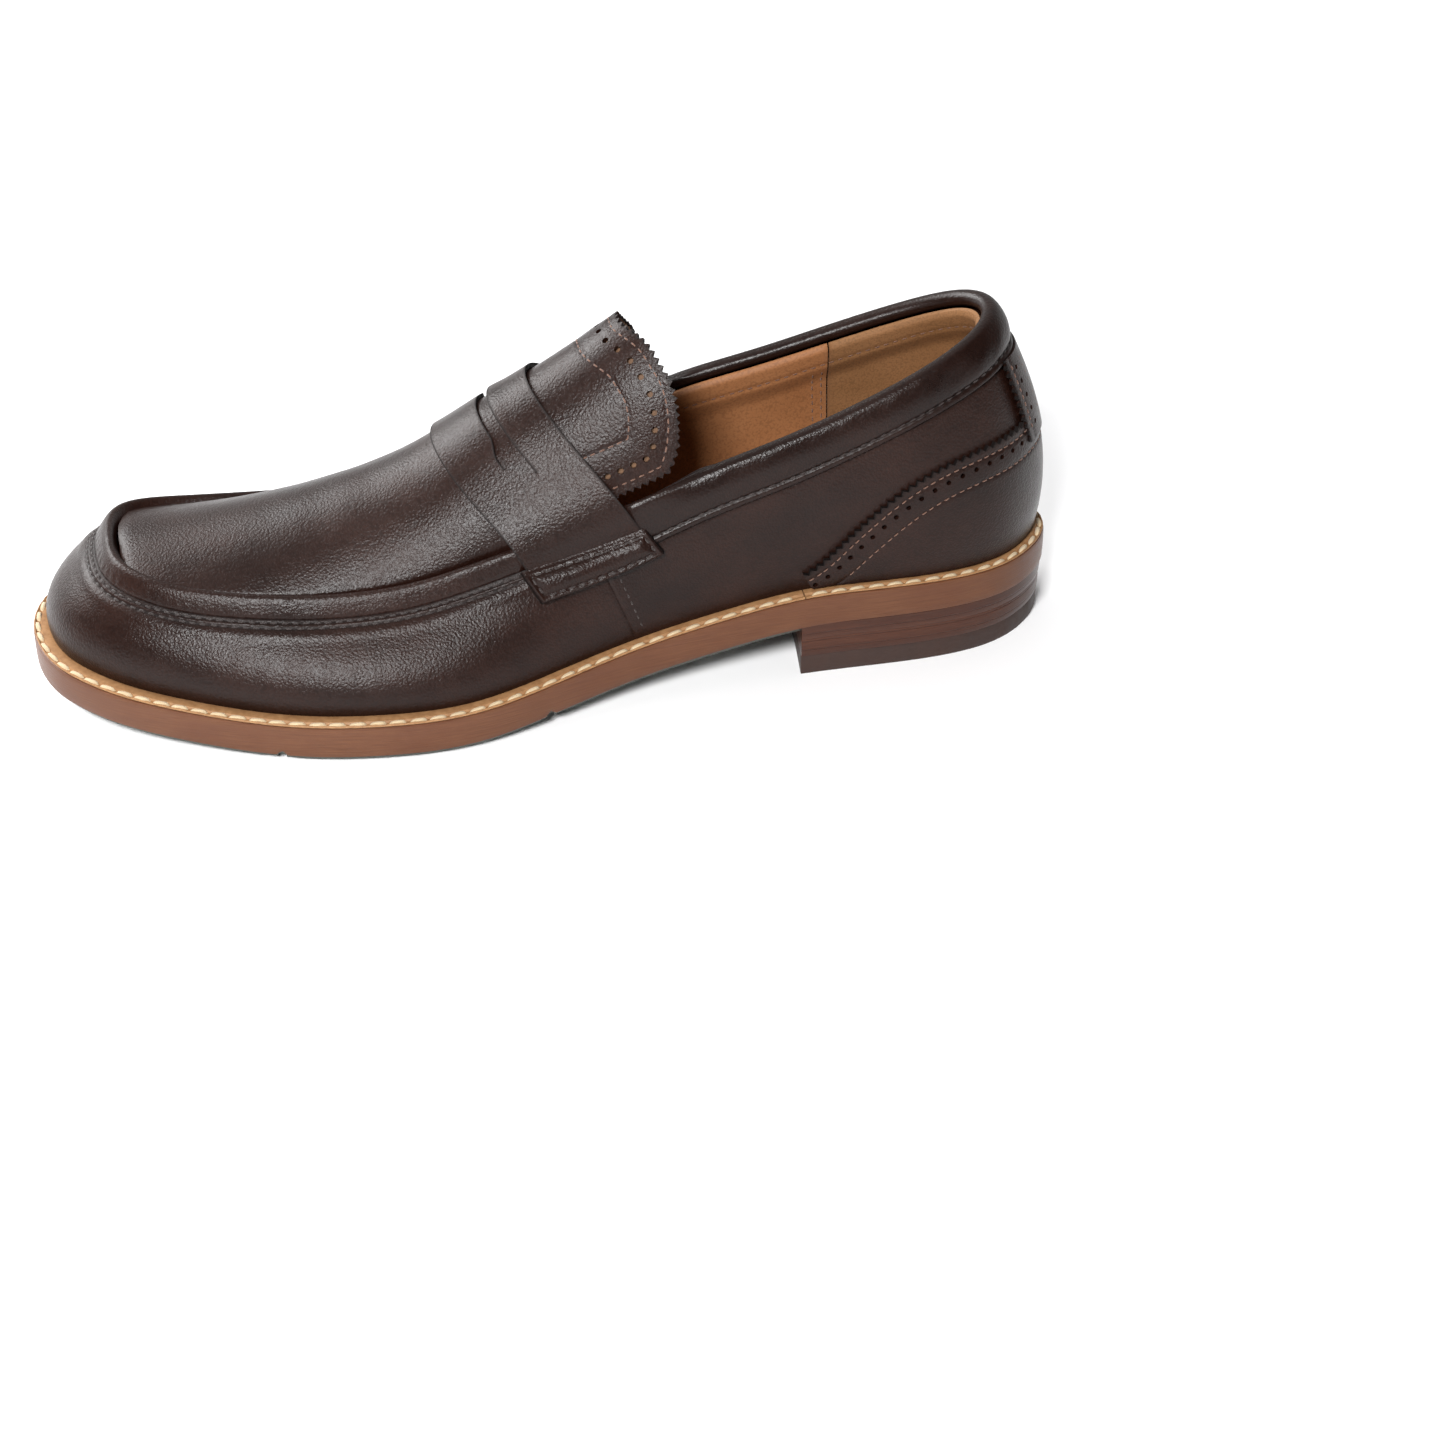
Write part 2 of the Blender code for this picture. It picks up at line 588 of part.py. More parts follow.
# ---- saddle strap -----------------------------------------------------------
def band_point(q, d, side, n):
    """Side wall point d below the top edge on the slanted plane q."""
    t = wall_at(q, 0.8 + 0 * q, side)
    for _ in range(3):
        h = wall_h(t, below=d + 0 * q)
        t = wall_at(q, h, side)
    return wall(t, h, n)


def band_row(shape, count, drop=16.3):
    """Points across the instep for one strap line; shape 0 is the front edge, 1 the rear edge."""
    def q(u):
        return 138.5 + 32.5 * shape + 5 * u * u
    ctrl = []
    for d, n in ((drop, 0.45), (12.0, 0.5), (8.0, 0.9), (3.2, 2.75)):
        ctrl.append(band_point(np.array(q(1.0)), d, -1, n))
    for u in (-0.78, -0.5, -0.2, 0.2, 0.5, 0.78):
        n = 0.75 if abs(u) > 0.7 else 0.45
        ctrl.append(instep(instep_at(q(u), u), u, n))
    for d, n in ((3.2, 2.75), (8.0, 0.9), (12.0, 0.5), (drop, 0.45)):
        ctrl.append(band_point(np.array(q(1.0)), d, 1, n))
    ctrl = np.array(ctrl)
    c = np.concatenate([[0], np.cumsum(np.linalg.norm(np.diff(ctrl, axis=0), axis=1))])
    tab = [spline_table(list(zip(c, ctrl[:, k]))) for k in range(3)]
    g = np.linspace(0, c[-1], 240)
    line = np.stack([along(a, g) for a in tab], -1)
    e = np.concatenate([[0], np.cumsum(np.linalg.norm(np.diff(line, axis=0), axis=1))])
    w = np.linspace(0, e[-1], count)
    return np.stack([np.interp(w, e, line[:, k]) for k in range(3)], -1)


def build_strap():
    count = 31
    lines = np.array([band_row(f, count) for f in (0, 0.15, 0.3, 0.45, 0.6, 0.75, 0.9, 1.0)])
    v = np.linspace(-1, 1, count)
    base = np.linspace(0, 1, 8)
    where = np.array([0, 0.15, 0.3, 0.45, 0.6, 0.75, 0.9, 1.0])
    open_gap = np.where(np.abs(v) < 0.44, 0.8 + 2.4 * (1 - (v / 0.44) ** 2), 0.8) / 32.5
    marks = [0 * v, 0.2 + 0 * v, 0.42 + 0 * v, 0.6 - open_gap / 2, 0.6 + open_gap / 2, 0.8 + 0 * v, 1 + 0 * v]
    pts = np.zeros((len(marks), count, 3))
    for i, m in enumerate(marks):
        for j in range(count):
            for k in range(3):
                pts[i, j, k] = np.interp(m[j], where, lines[:, j, k])
    hole = lambda i, j: i == 3 and abs(v[j] + v[j + 1]) / 2 < 0.42
    sheet("saddle_strap", pts, LOOK["leather"], 1.8, skip=hole, outward=True)


def build_strap_ends():
    for side, word in ((-1, "lateral"), (1, "medial")):
        ds = np.array([7.0, 8.4, 10.5, 12.8, 15.2, 16.8])
        puff = np.array([0.85, 0.85, 0.9, 0.85, 0.55, 0.0])
        qs = np.linspace(142.6, 176.6, 7)
        pts = np.array([[band_point(np.array(q), d, side, 2.8 + b) for d, b in zip(ds, puff)] for q in qs])
        pts = pts[:, ::-1] if side < 0 else pts
        sheet("strap_end_" + word, pts, LOOK["leather"], 1.0, outward=True)


# ---- tongue -----------------------------------------------------------------
def tongue_end(u):
    a = np.abs(u)
    q = 201.5 + 4.5 * np.sin(np.clip(a / 0.5, 0, 1) * math.pi / 2) ** 2
    return q - 22 * (1 - np.sqrt(np.clip(1 - (np.clip(a - 0.62, 0, 1) / 0.37) ** 2, 0, 1)))


def tongue_grid(u, n, back, rows_n):
    q0, q1 = 171.6 + 5 * u * u, tongue_end(u) - back
    q = q0[None, :] + (q1 - q0)[None, :] * np.linspace(0, 1, rows_n)[:, None]
    return instep(instep_at(q, u[None, :]), u[None, :], n)


def build_tongue():
    w = np.linspace(-1, 1, 15)
    u = 0.975 * np.sign(w) * (1 - (1 - np.abs(w)) ** 1.25)
    a = sheet("tongue", tongue_grid(u, 0.0, 0.0, 7), LOOK["leather"], 1.5)
    b = sheet("tongue_lining", tongue_grid(u * 0.965, -1.85, 1.5, 6), LOOK["lining"], 0.9)
    p = np.linspace(-0.86, 0.86, 25)
    q = tongue_end(p) - 14.0
    path = instep(instep_at(q, p), p, 0.7)
    c = sweep("tongue_thread", tube(path, 0.28, 4), LOOK["thread_brown"])
    hinge = bpy.data.objects.new("tongue_hinge", None)
    hinge.empty_display_size = 0.01
    hinge.location = world(HINGE).tolist()
    PARTS.objects.link(hinge)
    for ob in (a, b, c):
        ob.parent = hinge
        ob.matrix_parent_inverse = mathutils.Matrix.Translation(hinge.location).inverted()


# ---- collar, heel covers, linings -------------------------------------------
def crest_frame(t):
    """Top edge point, outward normal and upward tangent of the wall."""
    h = np.ones(np.shape(t))
    p = wall_point(t, h)
    nn = wall(t, h, 1.0) - wall(t, h, 0.0)
    up = p - wall_point(t, h - 0.02)
    up /= np.linalg.norm(up, axis=-1, keepdims=True)
    return p, nn, up


COLLAR = [  # kind, then (n, height) for the padded part and for the thin front end
    ("d", 1.3, 13.0, 1.3, 13.0), ("d", 1.9, 10.0, 1.6, 10.0), ("d", 2.6, 6.0, 2.4, 6.0), ("d", 2.3, 3.0, 3.0, 3.0),
    ("c", 1.5, -0.9, 3.4, -0.9), ("c", -0.2, 0.2, 3.0, 0.6), ("c", -1.9, 0.45, 2.2, 1.1), ("c", -3.7, 0.1, 1.4, 0.7),
    ("c", -5.5, -1.2, 0.7, -0.6), ("d", -6.4, 3.4, 0.4, 2.2), ("d", -6.4, 6.5, 0.4, 3.6), ("d", -5.9, 10.0, 0.4, 5.0),
    ("d", -5.7, 13.0, 0.4, 6.2)]


def collar_param(t):
    """0 where the collar lies outside the edge at the front, 1 where it is padded."""
    s = wall_point(t, np.ones(np.shape(t)))[..., 0]
    return smooth01((s - 177.0) / 16.0)


def build_collar():
    n = 33
    out = np.zeros((n, len(COLLAR), 3))
    for k, (kind, n1, v1, n0, v0) in enumerate(COLLAR):
        hh = 1.0 if kind == "c" else 0.99 - 0.035 * min(v1, 13.0) * (0.5 if k > 8 else 1)
        a = float(wall_at(np.array(177.2), np.array(hh), -1))
        b = float(wall_at(np.array(177.2), np.array(hh), 1))
        t = a + (b - a) * np.linspace(0, 1, n)
        c = collar_param(t)
        late = smooth01((wall_point(t, np.ones(n))[:, 0] - 194.0) / 5.0) if k > 8 else c
        nn, vv = n0 + (n1 - n0) * c, v0 + (v1 - v0) * late
        if kind == "d":
            out[:, k] = wall(t, wall_h(t, below=vv), nn)
        else:
            p, no, up = crest_frame(t)
            out[:, k] = p + no * nn[:, None] + up * vv[:, None]
    sheet("collar_binding", out, LOOK["leather"], 0.9)
    a, b = station(194, -1, 2), station(194, 1, 2)
    t = np.linspace(a, b, 26)
    w = np.linspace(0, 2 * math.pi, 7, endpoint=False)
    rings = np.stack([wall(t, wall_h(t, below=3.9 - 2.4 * np.sin(q) + 0 * t), -1.85 + 2.5 * np.cos(q)) for q in w], 1)
    sweep("collar_foam", rings, LOOK["foam"])
    a = float(wall_at(np.array(178.5), np.array(0.6), -1))
    b = float(wall_at(np.array(178.5), np.array(0.6), 1))
    t = np.linspace(a, b, 34)
    sweep("collar_thread", tube(on_wall(t, 11.4, 2.35), 0.28, 4), LOOK["thread_dark"])


def height_h(t, z):
    """h on the wall at a given height."""
    hs = np.linspace(0, 1, 41)
    p = wall_point(np.asarray(t)[..., None] + 0 * hs, hs + 0 * np.asarray(t)[..., None])[..., 2]
    flat, goal = p.reshape(-1, 41), np.asarray(z, float).reshape(-1)
    return np.array([np.interp(g, q, hs) for g, q in zip(goal, flat)]).reshape(np.shape(t))


def counter_top(t):
    """Upper edge height of the heel cover."""
    s = col(t, 0)
    return np.interp(s, [221, 226, 230, 239, 250, 262, 275, 290], [31, 35, 39.5, 48.5, 57.5, 63.5, 66.5, 68])


def build_heel_covers():
    t = np.linspace(station(222.5, -1), station(222.5, 1), 23)
    hi, lo = height_h(t, counter_top(t)), wall_h(t, above=0.2 + 0 * t)
    k = np.linspace(0, 1, 6)
    h = lo[:, None] + (hi - lo)[:, None] * k[None, :]
    sheet("heel_counter", wall(t[:, None] + 0 * h, h, 1.5), LOOK["leather"], 1.1)
    t = np.linspace(HALF - 0.5, HALF + 0.5, 7)
    hi, lo = wall_h(t, below=13.6 + 0 * t), height_h(t, counter_top(t) + 0.45)
    h = lo[:, None] + (hi - lo)[:, None] * np.linspace(0, 1, 4)[None, :]
    sheet("backstay", wall(t[:, None] + 0 * h, h, 1.5), LOOK["leather"], 1.1)
    t = np.linspace(station(227, -1), station(227, 1), 30)
    h = height_h(t, counter_top(t) - 4.0)
    sweep("counter_thread", tube(wall(t, h, 2.1), 0.26, 4), LOOK["thread_brown"])


def lining_sheet(t0, t1, n, cols, gap):
    pts = upper_sheet(t0, t1, n, cols, gap, lasted=False, n_off=-3.2)
    low = pts[:, :1].copy()
    low[..., 2] -= 0.9
    return np.concatenate([low, pts], 1)


def build_linings():
    lat, med = seam(176, 166, -1), seam(176, 166, 1)
    back_l, back_m = level(station(241, -1)), level(station(241, 1))
    sheet("vamp_lining", lining_sheet(med, lat, 28, 5, 4.0), LOOK["lining"], 1.0)
    sheet("quarter_lining_lateral", lining_sheet(shift(lat, 0.045), shift(back_l, -0.02), 8, 5, 7.3),
          LOOK["lining"], 1.0)
    sheet("quarter_lining_medial", lining_sheet(shift(back_m, 0.02), shift(med, FULL - 0.045), 8, 5, 7.3),
          LOOK["lining"], 1.0)
    sheet("heel_grip_lining", lining_sheet(shift(back_l, 0.02), shift(back_m, -0.02), 17, 5, 7.3),
          LOOK["grip"], 1.0)
    t0, t1 = level(station(50, 1) - FULL), level(station(50, -1))
    sheet("toe_puff", upper_sheet(t0, t1, 17, 5, 9.0, False, -1.9, 3.5), LOOK["board"], 0.7)
    t0, t1 = level(station(232, -1)), level(station(232, 1))
    sheet("heel_stiffener", upper_sheet(t0, t1, 17, 5, 21.0, False, -1.85, 3.5), LOOK["board"], 0.7)


def main():
    build_nails()
    build_outsole()
    build_heel()
    build_sole_layers()
    build_welt()
    build_upper()
    build_plug()
    build_ridge()
    build_strap()
    build_strap_ends()
    build_tongue()
    build_collar()
    build_heel_covers()
    build_linings()
    for ob in CUTTERS.objects:
        ob.hide_render = True
        ob.display_type = 'WIRE'


LOOK = {
    "leather": ((0.045, 0.026, 0.022), 0.42), "lining": ((0.43, 0.19, 0.065), 0.6),
    "grip": ((0.25, 0.14, 0.055), 0.75), "sole": ((0.17, 0.065, 0.032), 0.5),
    "stack": ((0.115, 0.038, 0.023), 0.45), "toplift": ((0.065, 0.033, 0.025), 0.6),
    "rubber": ((0.07, 0.075, 0.062), 0.7), "welt": ((0.52, 0.27, 0.105), 0.6),
    "thread_pale": ((0.78, 0.62, 0.40), 0.8), "thread_dark": ((0.03, 0.017, 0.014), 0.7),
    "thread_brown": ((0.22, 0.09, 0.055), 0.7), "cork": ((0.42, 0.26, 0.13), 0.9),
    "board": ((0.34, 0.25, 0.16), 0.85), "foam": ((0.75, 0.68, 0.5), 0.9), "sock": ((0.125, 0.053, 0.02), 0.65),
    "steel": ((0.55, 0.55, 0.56), 0.35, 1.0), "cord": ((0.5, 0.45, 0.36), 0.85)}
BREAST = 221.0
RUBBER = 4.0
NAILS = [(232.0, -15.0), (232.0, 15.0), (258.0, -17.0), (258.0, 17.0), (280.0, 0.0)]
HINGE = (146.9, 0.0, 87.4)

for old in list(bpy.data.objects):
    bpy.data.objects.remove(old, do_unlink=True)
PARTS = collection("penny_loafer")
CUTTERS = collection("cutters")
main()
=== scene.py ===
"""Looks of the left penny loafer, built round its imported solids.

Lengths below are shoe millimetres: s runs from the toe tip to the heel back, y is negative on
the outer side, z is the height over the floor.  world() moves them into the shared frame.
"""
import json
import math

import bmesh
import bpy
import mathutils
import numpy as np
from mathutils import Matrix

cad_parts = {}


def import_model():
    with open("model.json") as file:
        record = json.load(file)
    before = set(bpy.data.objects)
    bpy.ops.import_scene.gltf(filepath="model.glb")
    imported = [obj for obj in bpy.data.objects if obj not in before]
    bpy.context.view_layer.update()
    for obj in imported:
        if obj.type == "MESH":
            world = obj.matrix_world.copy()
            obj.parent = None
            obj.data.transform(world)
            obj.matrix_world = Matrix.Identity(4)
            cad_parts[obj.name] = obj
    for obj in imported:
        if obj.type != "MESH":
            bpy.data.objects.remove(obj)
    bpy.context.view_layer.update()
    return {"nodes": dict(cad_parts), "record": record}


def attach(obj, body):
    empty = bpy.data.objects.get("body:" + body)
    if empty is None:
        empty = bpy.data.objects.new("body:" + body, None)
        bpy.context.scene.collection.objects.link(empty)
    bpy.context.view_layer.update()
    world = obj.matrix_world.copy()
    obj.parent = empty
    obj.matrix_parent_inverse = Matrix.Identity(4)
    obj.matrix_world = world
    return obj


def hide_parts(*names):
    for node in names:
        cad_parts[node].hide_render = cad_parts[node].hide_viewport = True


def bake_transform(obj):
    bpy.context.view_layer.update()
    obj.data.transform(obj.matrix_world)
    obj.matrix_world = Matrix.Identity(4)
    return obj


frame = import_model()
bpy.context.scene.view_settings.view_transform = 'Standard'

# ---- the shoe's own shape, as its solids have it -----------------------------
LENGTH = 300.0
Y_SHIFT = 4.15
STATIONS = [
    # feather s, y | top edge s, y, z | outward lean at the foot, inward lean at the top
    (6.3, 1.0, 28.0, 2.0, 44.8, 9, 62),
    (10.0, -15.0, 29.0, -8.0, 44.8, 10, 61),
    (18.5, -26.0, 32.0, -15.5, 44.3, 10, 58),
    (30.0, -34.5, 38.5, -21.5, 43.4, 10, 55),
    (45.0, -41.5, 49.0, -26.5, 42.0, 9, 52),
    (65.0, -48.5, 66.0, -30.5, 40.8, 8, 50),
    (88.0, -53.5, 87.0, -33.0, 40.3, 7, 48),
    (110.0, -54.5, 108.0, -33.7, 42.0, 4, 45),
    (130.0, -51.5, 126.0, -33.0, 46.3, 0, 39),
    (150.0, -44.5, 147.0, -32.0, 52.5, -2, 32),
    (172.0, -37.5, 171.0, -31.2, 60.0, 0, 20),
    (195.0, -33.0, 193.0, -30.3, 68.6, 4, 12),
    (218.0, -30.0, 215.0, -28.8, 75.6, 8, 10),
    (240.0, -28.5, 238.0, -26.2, 83.8, 12, 12),
    (260.0, -27.0, 257.0, -22.3, 91.3, 14, 17),
    (277.0, -22.5, 270.0, -16.3, 96.5, 14, 23),
    (289.0, -13.5, 277.3, -8.5, 99.0, 13, 26),
    (295.3, 0.0, 279.8, 0.0, 99.8, 13, 27),
    (289.0, 13.8, 277.3, 8.3, 98.8, 13, 26),
    (277.0, 22.8, 270.0, 15.3, 95.6, 14, 23),
    (260.0, 27.5, 257.0, 20.6, 90.2, 15, 17),
    (240.0, 28.5, 238.0, 23.4, 83.6, 15, 12),
    (218.0, 27.5, 215.0, 25.2, 76.2, 14, 9),
    (195.0, 26.5, 193.0, 26.6, 69.6, 13, 9),
    (172.0, 27.5, 171.0, 27.6, 60.6, 12, 14),
    (150.0, 31.5, 147.0, 28.3, 52.5, 10, 26),
    (130.0, 37.5, 126.0, 28.7, 45.4, 8, 36),
    (110.0, 43.0, 108.0, 28.6, 40.8, 8, 43),
    (88.0, 46.0, 87.0, 28.3, 38.6, 8, 48),
    (65.0, 44.0, 66.0, 27.6, 38.8, 9, 50),
    (45.0, 38.5, 49.0, 25.8, 40.2, 9, 52),
    (30.0, 32.5, 38.0, 23.0, 41.9, 9, 55),
    (18.5, 25.5, 31.5, 18.5, 43.4, 9, 58),
    (10.0, 16.0, 28.5, 11.5, 44.3, 9, 61),
]
HALF = 17.0
FULL = 34.0
ROOT_LINE = [(0, 11.0), (10, 9.6), (20, 8.5), (30, 7.5), (45, 6.1), (60, 4.9), (72, 4.2), (80, 4.0),
             (95, 4.0), (110, 4.0), (122, 4.4), (135, 5.6), (150, 7.5), (165, 9.8), (180, 12.2),
             (195, 14.5), (210, 16.7), (225, 18.2), (240, 18.5), (270, 18.5), (300, 18.5)]
CREST = [(20, 44.5), (30, 46.2), (40, 47.2), (50, 48.5), (60, 50.2), (70, 52.2), (80, 54.6), (94, 58.6),
         (105, 62.4), (116, 67.5), (130, 76.0), (145, 85.3), (157, 92.8), (170, 101.5), (190, 114.0)]
LEAN = [(0, 1.0), (60, 1.05), (100, 1.15), (130, 1.25), (160, 1.3), (200, 1.3)]
SLOPE = math.radians(33.0)


def spline_table(rows):
    """Second derivatives of a natural cubic through (x, y) rows."""
    x = np.array([r[0] for r in rows], float)
    y = np.array([r[1] for r in rows], float)
    n = len(x)
    m = np.eye(n)
    rhs = np.zeros(n)
    for i in range(1, n - 1):
        a, b = x[i] - x[i - 1], x[i + 1] - x[i]
        m[i, i - 1:i + 2] = a, 2 * (a + b), b
        rhs[i] = 6 * ((y[i + 1] - y[i]) / b - (y[i] - y[i - 1]) / a)
    return x, y, np.linalg.solve(m, rhs)


def along(table, q):
    """Value of a spline table at q (ends held)."""
    x, y, k = table
    q = np.clip(q, x[0], x[-1])
    i = np.clip(np.searchsorted(x, q) - 1, 0, len(x) - 2)
    h = x[i + 1] - x[i]
    a, b = (x[i + 1] - q) / h, (q - x[i]) / h
    return a * y[i] + b * y[i + 1] + ((a ** 3 - a) * k[i] + (b ** 3 - b) * k[i + 1]) * h * h / 6


def ring_tables(rows):
    """Closed splines, one per column, over the station number."""
    ext = [(k - FULL, rows[k]) for k in range(26, 34)] + list(enumerate(rows))
    ext += [(k + FULL, rows[k]) for k in range(0, 9)]
    return [spline_table([(k, r[c]) for k, r in ext]) for c in range(len(rows[0]))]


ROOT = spline_table(ROOT_LINE)
CROWN = spline_table(CREST)
RIM = ring_tables(STATIONS)


def root(s):
    """Height of the underside of the midsole at s."""
    return along(ROOT, s)


def matched(a, b):
    """Two float arrays of one shape."""
    return np.broadcast_arrays(np.asarray(a, float), np.asarray(b, float))


def wrap(t):
    return np.mod(np.asarray(t, float) + 4.0, FULL) - 4.0


def col(t, c):
    return along(RIM[c], wrap(t))


def plan_normal(t, c):
    """Outward unit normal in plan of the feather (c=0) or the top edge (c=2)."""
    d = 0.02
    ds = col(t + d, c) - col(t - d, c)
    dy = col(t + d, c + 1) - col(t - d, c + 1)
    n = np.stack([dy, -ds], -1)
    return n / np.linalg.norm(n, axis=-1, keepdims=True)


def outline(t, off):
    """Feather line moved out by off, in plan."""
    n = plan_normal(t, 0)
    return np.stack([col(t, 0), col(t, 1)], -1) + n * np.asarray(off, float)[..., None]


FOOT = 9.8


def wall_point(t, h):
    """Outer face of the side wall: h 0 at the feather, 1 at the top edge."""
    t = np.asarray(t, float)
    h = np.asarray(h, float)
    nf, nt = plan_normal(t, 0), plan_normal(t, 2)
    f = np.stack([col(t, 0), col(t, 1), root(col(t, 0)) + FOOT], -1)
    e = np.stack([col(t, 2), col(t, 3), col(t, 4)], -1)
    lo, ti = np.radians(col(t, 5)), np.radians(col(t, 6))
    size = e[..., 2] - f[..., 2]
    run = np.hypot(e[..., 0] - f[..., 0], e[..., 1] - f[..., 1])
    a = (0.36 * size + 0.12 * run)[..., None]
    b = (0.26 * size + 0.26 * run)[..., None]
    up = np.stack([nf[..., 0] * np.sin(lo), nf[..., 1] * np.sin(lo), np.cos(lo)], -1)
    ov = np.stack([-nt[..., 0] * np.sin(ti), -nt[..., 1] * np.sin(ti), np.cos(ti)], -1)
    p1, p2 = f + a * up, e - b * ov
    k = h[..., None]
    return (1 - k) ** 3 * f + 3 * k * (1 - k) ** 2 * p1 + 3 * k * k * (1 - k) * p2 + k ** 3 * e


def wall(t, h, n=0.0):
    """Side wall point moved n along its outward normal."""
    t, h = matched(t, h)
    p = wall_point(t, h)
    d, k = 0.03, 0.004
    du = wall_point(t + d, h) - wall_point(t - d, h)
    hv = np.clip(h, k, 1 - k)
    dv = wall_point(t, hv + k) - wall_point(t, hv - k)
    nn = np.cross(du, dv)
    nn /= np.linalg.norm(nn, axis=-1, keepdims=True)
    return p + nn * np.asarray(n, float)[..., None]


BREAST = 221.0
RUBBER = 4.0


def bisect(f, goal, lo, hi):
    """Where the rising function f reaches goal, for whole arrays; lo may be the larger number."""
    goal = np.asarray(goal, float)
    lo, hi = np.full(goal.shape, float(lo)), np.full(goal.shape, float(hi))
    for _ in range(30):
        m = 0.5 * (lo + hi)
        w = f(m) < goal
        lo, hi = np.where(w, m, lo), np.where(w, hi, m)
    return 0.5 * (lo + hi)


def station(s, side, c=0):
    """Station number on a side (-1 lateral, 1 medial) where the foot or top line reaches s."""
    return bisect(lambda t: col(t, c), s, 0.0 if side < 0 else FULL, HALF)


def station_of(s, side, c=0):
    """The same for a single s, as a number."""
    return float(station(np.array(s), side, c))


def station_h(s, side, h):
    return bisect(lambda t: wall_point(t, h)[..., 0], s, 0.0 if side < 0 else FULL, HALF)


ARC_T = np.linspace(0, FULL, 681)
ARC_H = np.linspace(0, 1, 65)
ARC_P = wall_point(ARC_T[:, None] + 0 * ARC_H, ARC_H + 0 * ARC_T[:, None])
ARC = np.concatenate([np.zeros((681, 1)), np.cumsum(np.linalg.norm(np.diff(ARC_P, axis=1), axis=-1), 1)], 1)


def arc(t, h):
    """Distance up the wall from the foot line."""
    x, y = np.mod(t, FULL) / FULL * 680, np.clip(h, 0, 1) * 64
    i, j = np.clip(x.astype(int), 0, 679), np.clip(y.astype(int), 0, 63)
    a, b = x - i, y - j
    return ((1 - a) * (1 - b) * ARC[i, j] + a * (1 - b) * ARC[i + 1, j] + (1 - a) * b * ARC[i, j + 1]
            + a * b * ARC[i + 1, j + 1])


def h_below(t, d):
    """h at distance d under the top edge."""
    t, d = matched(t, d)
    return bisect(lambda h: arc(t, h), arc(t, np.ones(t.shape)) - d, 0, 1)


def h_above(t, d):
    t, d = matched(t, d)
    return bisect(lambda h: arc(t, h), d, 0, 1)


def h_at_z(t, z):
    t, z = matched(t, z)
    return bisect(lambda h: wall_point(t, h)[..., 2], z, 0, 1)


def off_wall(t, d, n):
    return wall(t, h_below(t, d), n)


def settle(p, t, h):
    """Stations and heights of the wall points nearest to p, from a first guess."""
    for _ in range(8):
        r = p - wall_point(t, h)
        a = (wall_point(t + 0.01, h) - wall_point(t - 0.01, h)) / 0.02
        b = (wall_point(t, h + 0.005) - wall_point(t, h - 0.005)) / 0.01
        aa, bb, ab = (a * a).sum(-1), (b * b).sum(-1), (a * b).sum(-1)
        ra, rb = (a * r).sum(-1), (b * r).sum(-1)
        k = aa * bb - ab * ab
        t = t + np.clip((ra * bb - rb * ab) / k, -0.4, 0.4)
        h = np.clip(h + np.clip((rb * aa - ra * ab) / k, -0.2, 0.2), 0.004, 1.0)
    return t, h


def unit(v):
    return v / np.maximum(np.linalg.norm(v, axis=-1, keepdims=True), 1e-9)


def inward(t, h, dist):
    """A line on the wall moved sideways by dist, to the left of its own direction seen from outside."""
    p = wall_point(t, h)
    nn = wall(t, h, 1.0) - p
    side = unit(np.cross(nn, np.gradient(p, axis=0)))
    return settle(p + side * np.asarray(dist, float)[..., None], t, h)


SPAN_S = np.concatenate([28.0 + 12 * np.linspace(0.03, 1, 14) ** 2, np.arange(42, 206, 4.0)])
SPAN_T = station(SPAN_S, -1, 2), station(SPAN_S, 1, 2)
SPAN = [col(SPAN_T[0], 3), col(SPAN_T[1], 3), col(SPAN_T[0], 4), col(SPAN_T[1], 4)]


def instep_point(s, u, sink=0.6):
    """Face of the apron plug and tongue: u -1 at the lateral edge, 1 at the medial edge."""
    s, u = matched(s, u)
    yl, ym, zl, zm = (np.interp(s, SPAN_S, q) for q in SPAN)
    k = 0.5 * (1 + u)
    y = yl + (ym - yl) * k
    base = zl + (zm - zl) * k - sink
    m = np.interp(s, [r[0] for r in LEAN], [r[1] for r in LEAN])
    rise = np.maximum(along(CROWN, s) - 0.5 * (zl + zm) + sink, 0.0)
    z = base + rise * np.maximum(1 - u * u, 0.0) ** (1 / m)
    return np.stack([s, y, z], -1)


def instep(s, u, n=0.0):
    s, u = matched(s, u)
    v = np.clip(u, -0.985, 0.985)
    du = instep_point(s, v + 0.01) - instep_point(s, v - 0.01)
    dv = instep_point(s + 0.6, v) - instep_point(s - 0.6, v)
    nn = unit(np.cross(dv, du))
    return instep_point(s, u) + nn * np.asarray(n, float)[..., None]


def slant(p):
    return p[..., 0] * math.cos(SLOPE) + p[..., 2] * math.sin(SLOPE)


def instep_at(q, u):
    """s on the instep where the slanted band coordinate equals q."""
    q, u = matched(q, u)
    return bisect(lambda s: slant(instep_point(s, u)), q, 40.0, 215.0)


def wall_at(q, h, side):
    """Station on a side wall where the slanted band coordinate equals q."""
    q, h = matched(q, h)
    return bisect(lambda t: slant(wall_point(t, h)), q, station(90.0, side), station(225.0, side))


def sole_off(t, cut=0.0):
    """Distance from the foot line to the sole edge round the shoe."""
    ks = [0, 1.5, 6, 10, 14, 17, 20, 24, 28, 31, 33, 34]
    ws = [4.3, 5.0, 5.0, 4.3, 4.0, 4.6, 4.0, 4.2, 4.8, 4.2, 3.8, 4.3]
    return np.interp(np.mod(t, FULL), ks, ws) - cut


def smooth01(x):
    x = np.clip(x, 0, 1)
    return x * x * (3 - 2 * x)


def dent(x, width):
    return np.exp(-(np.asarray(x, float) / width) ** 2)


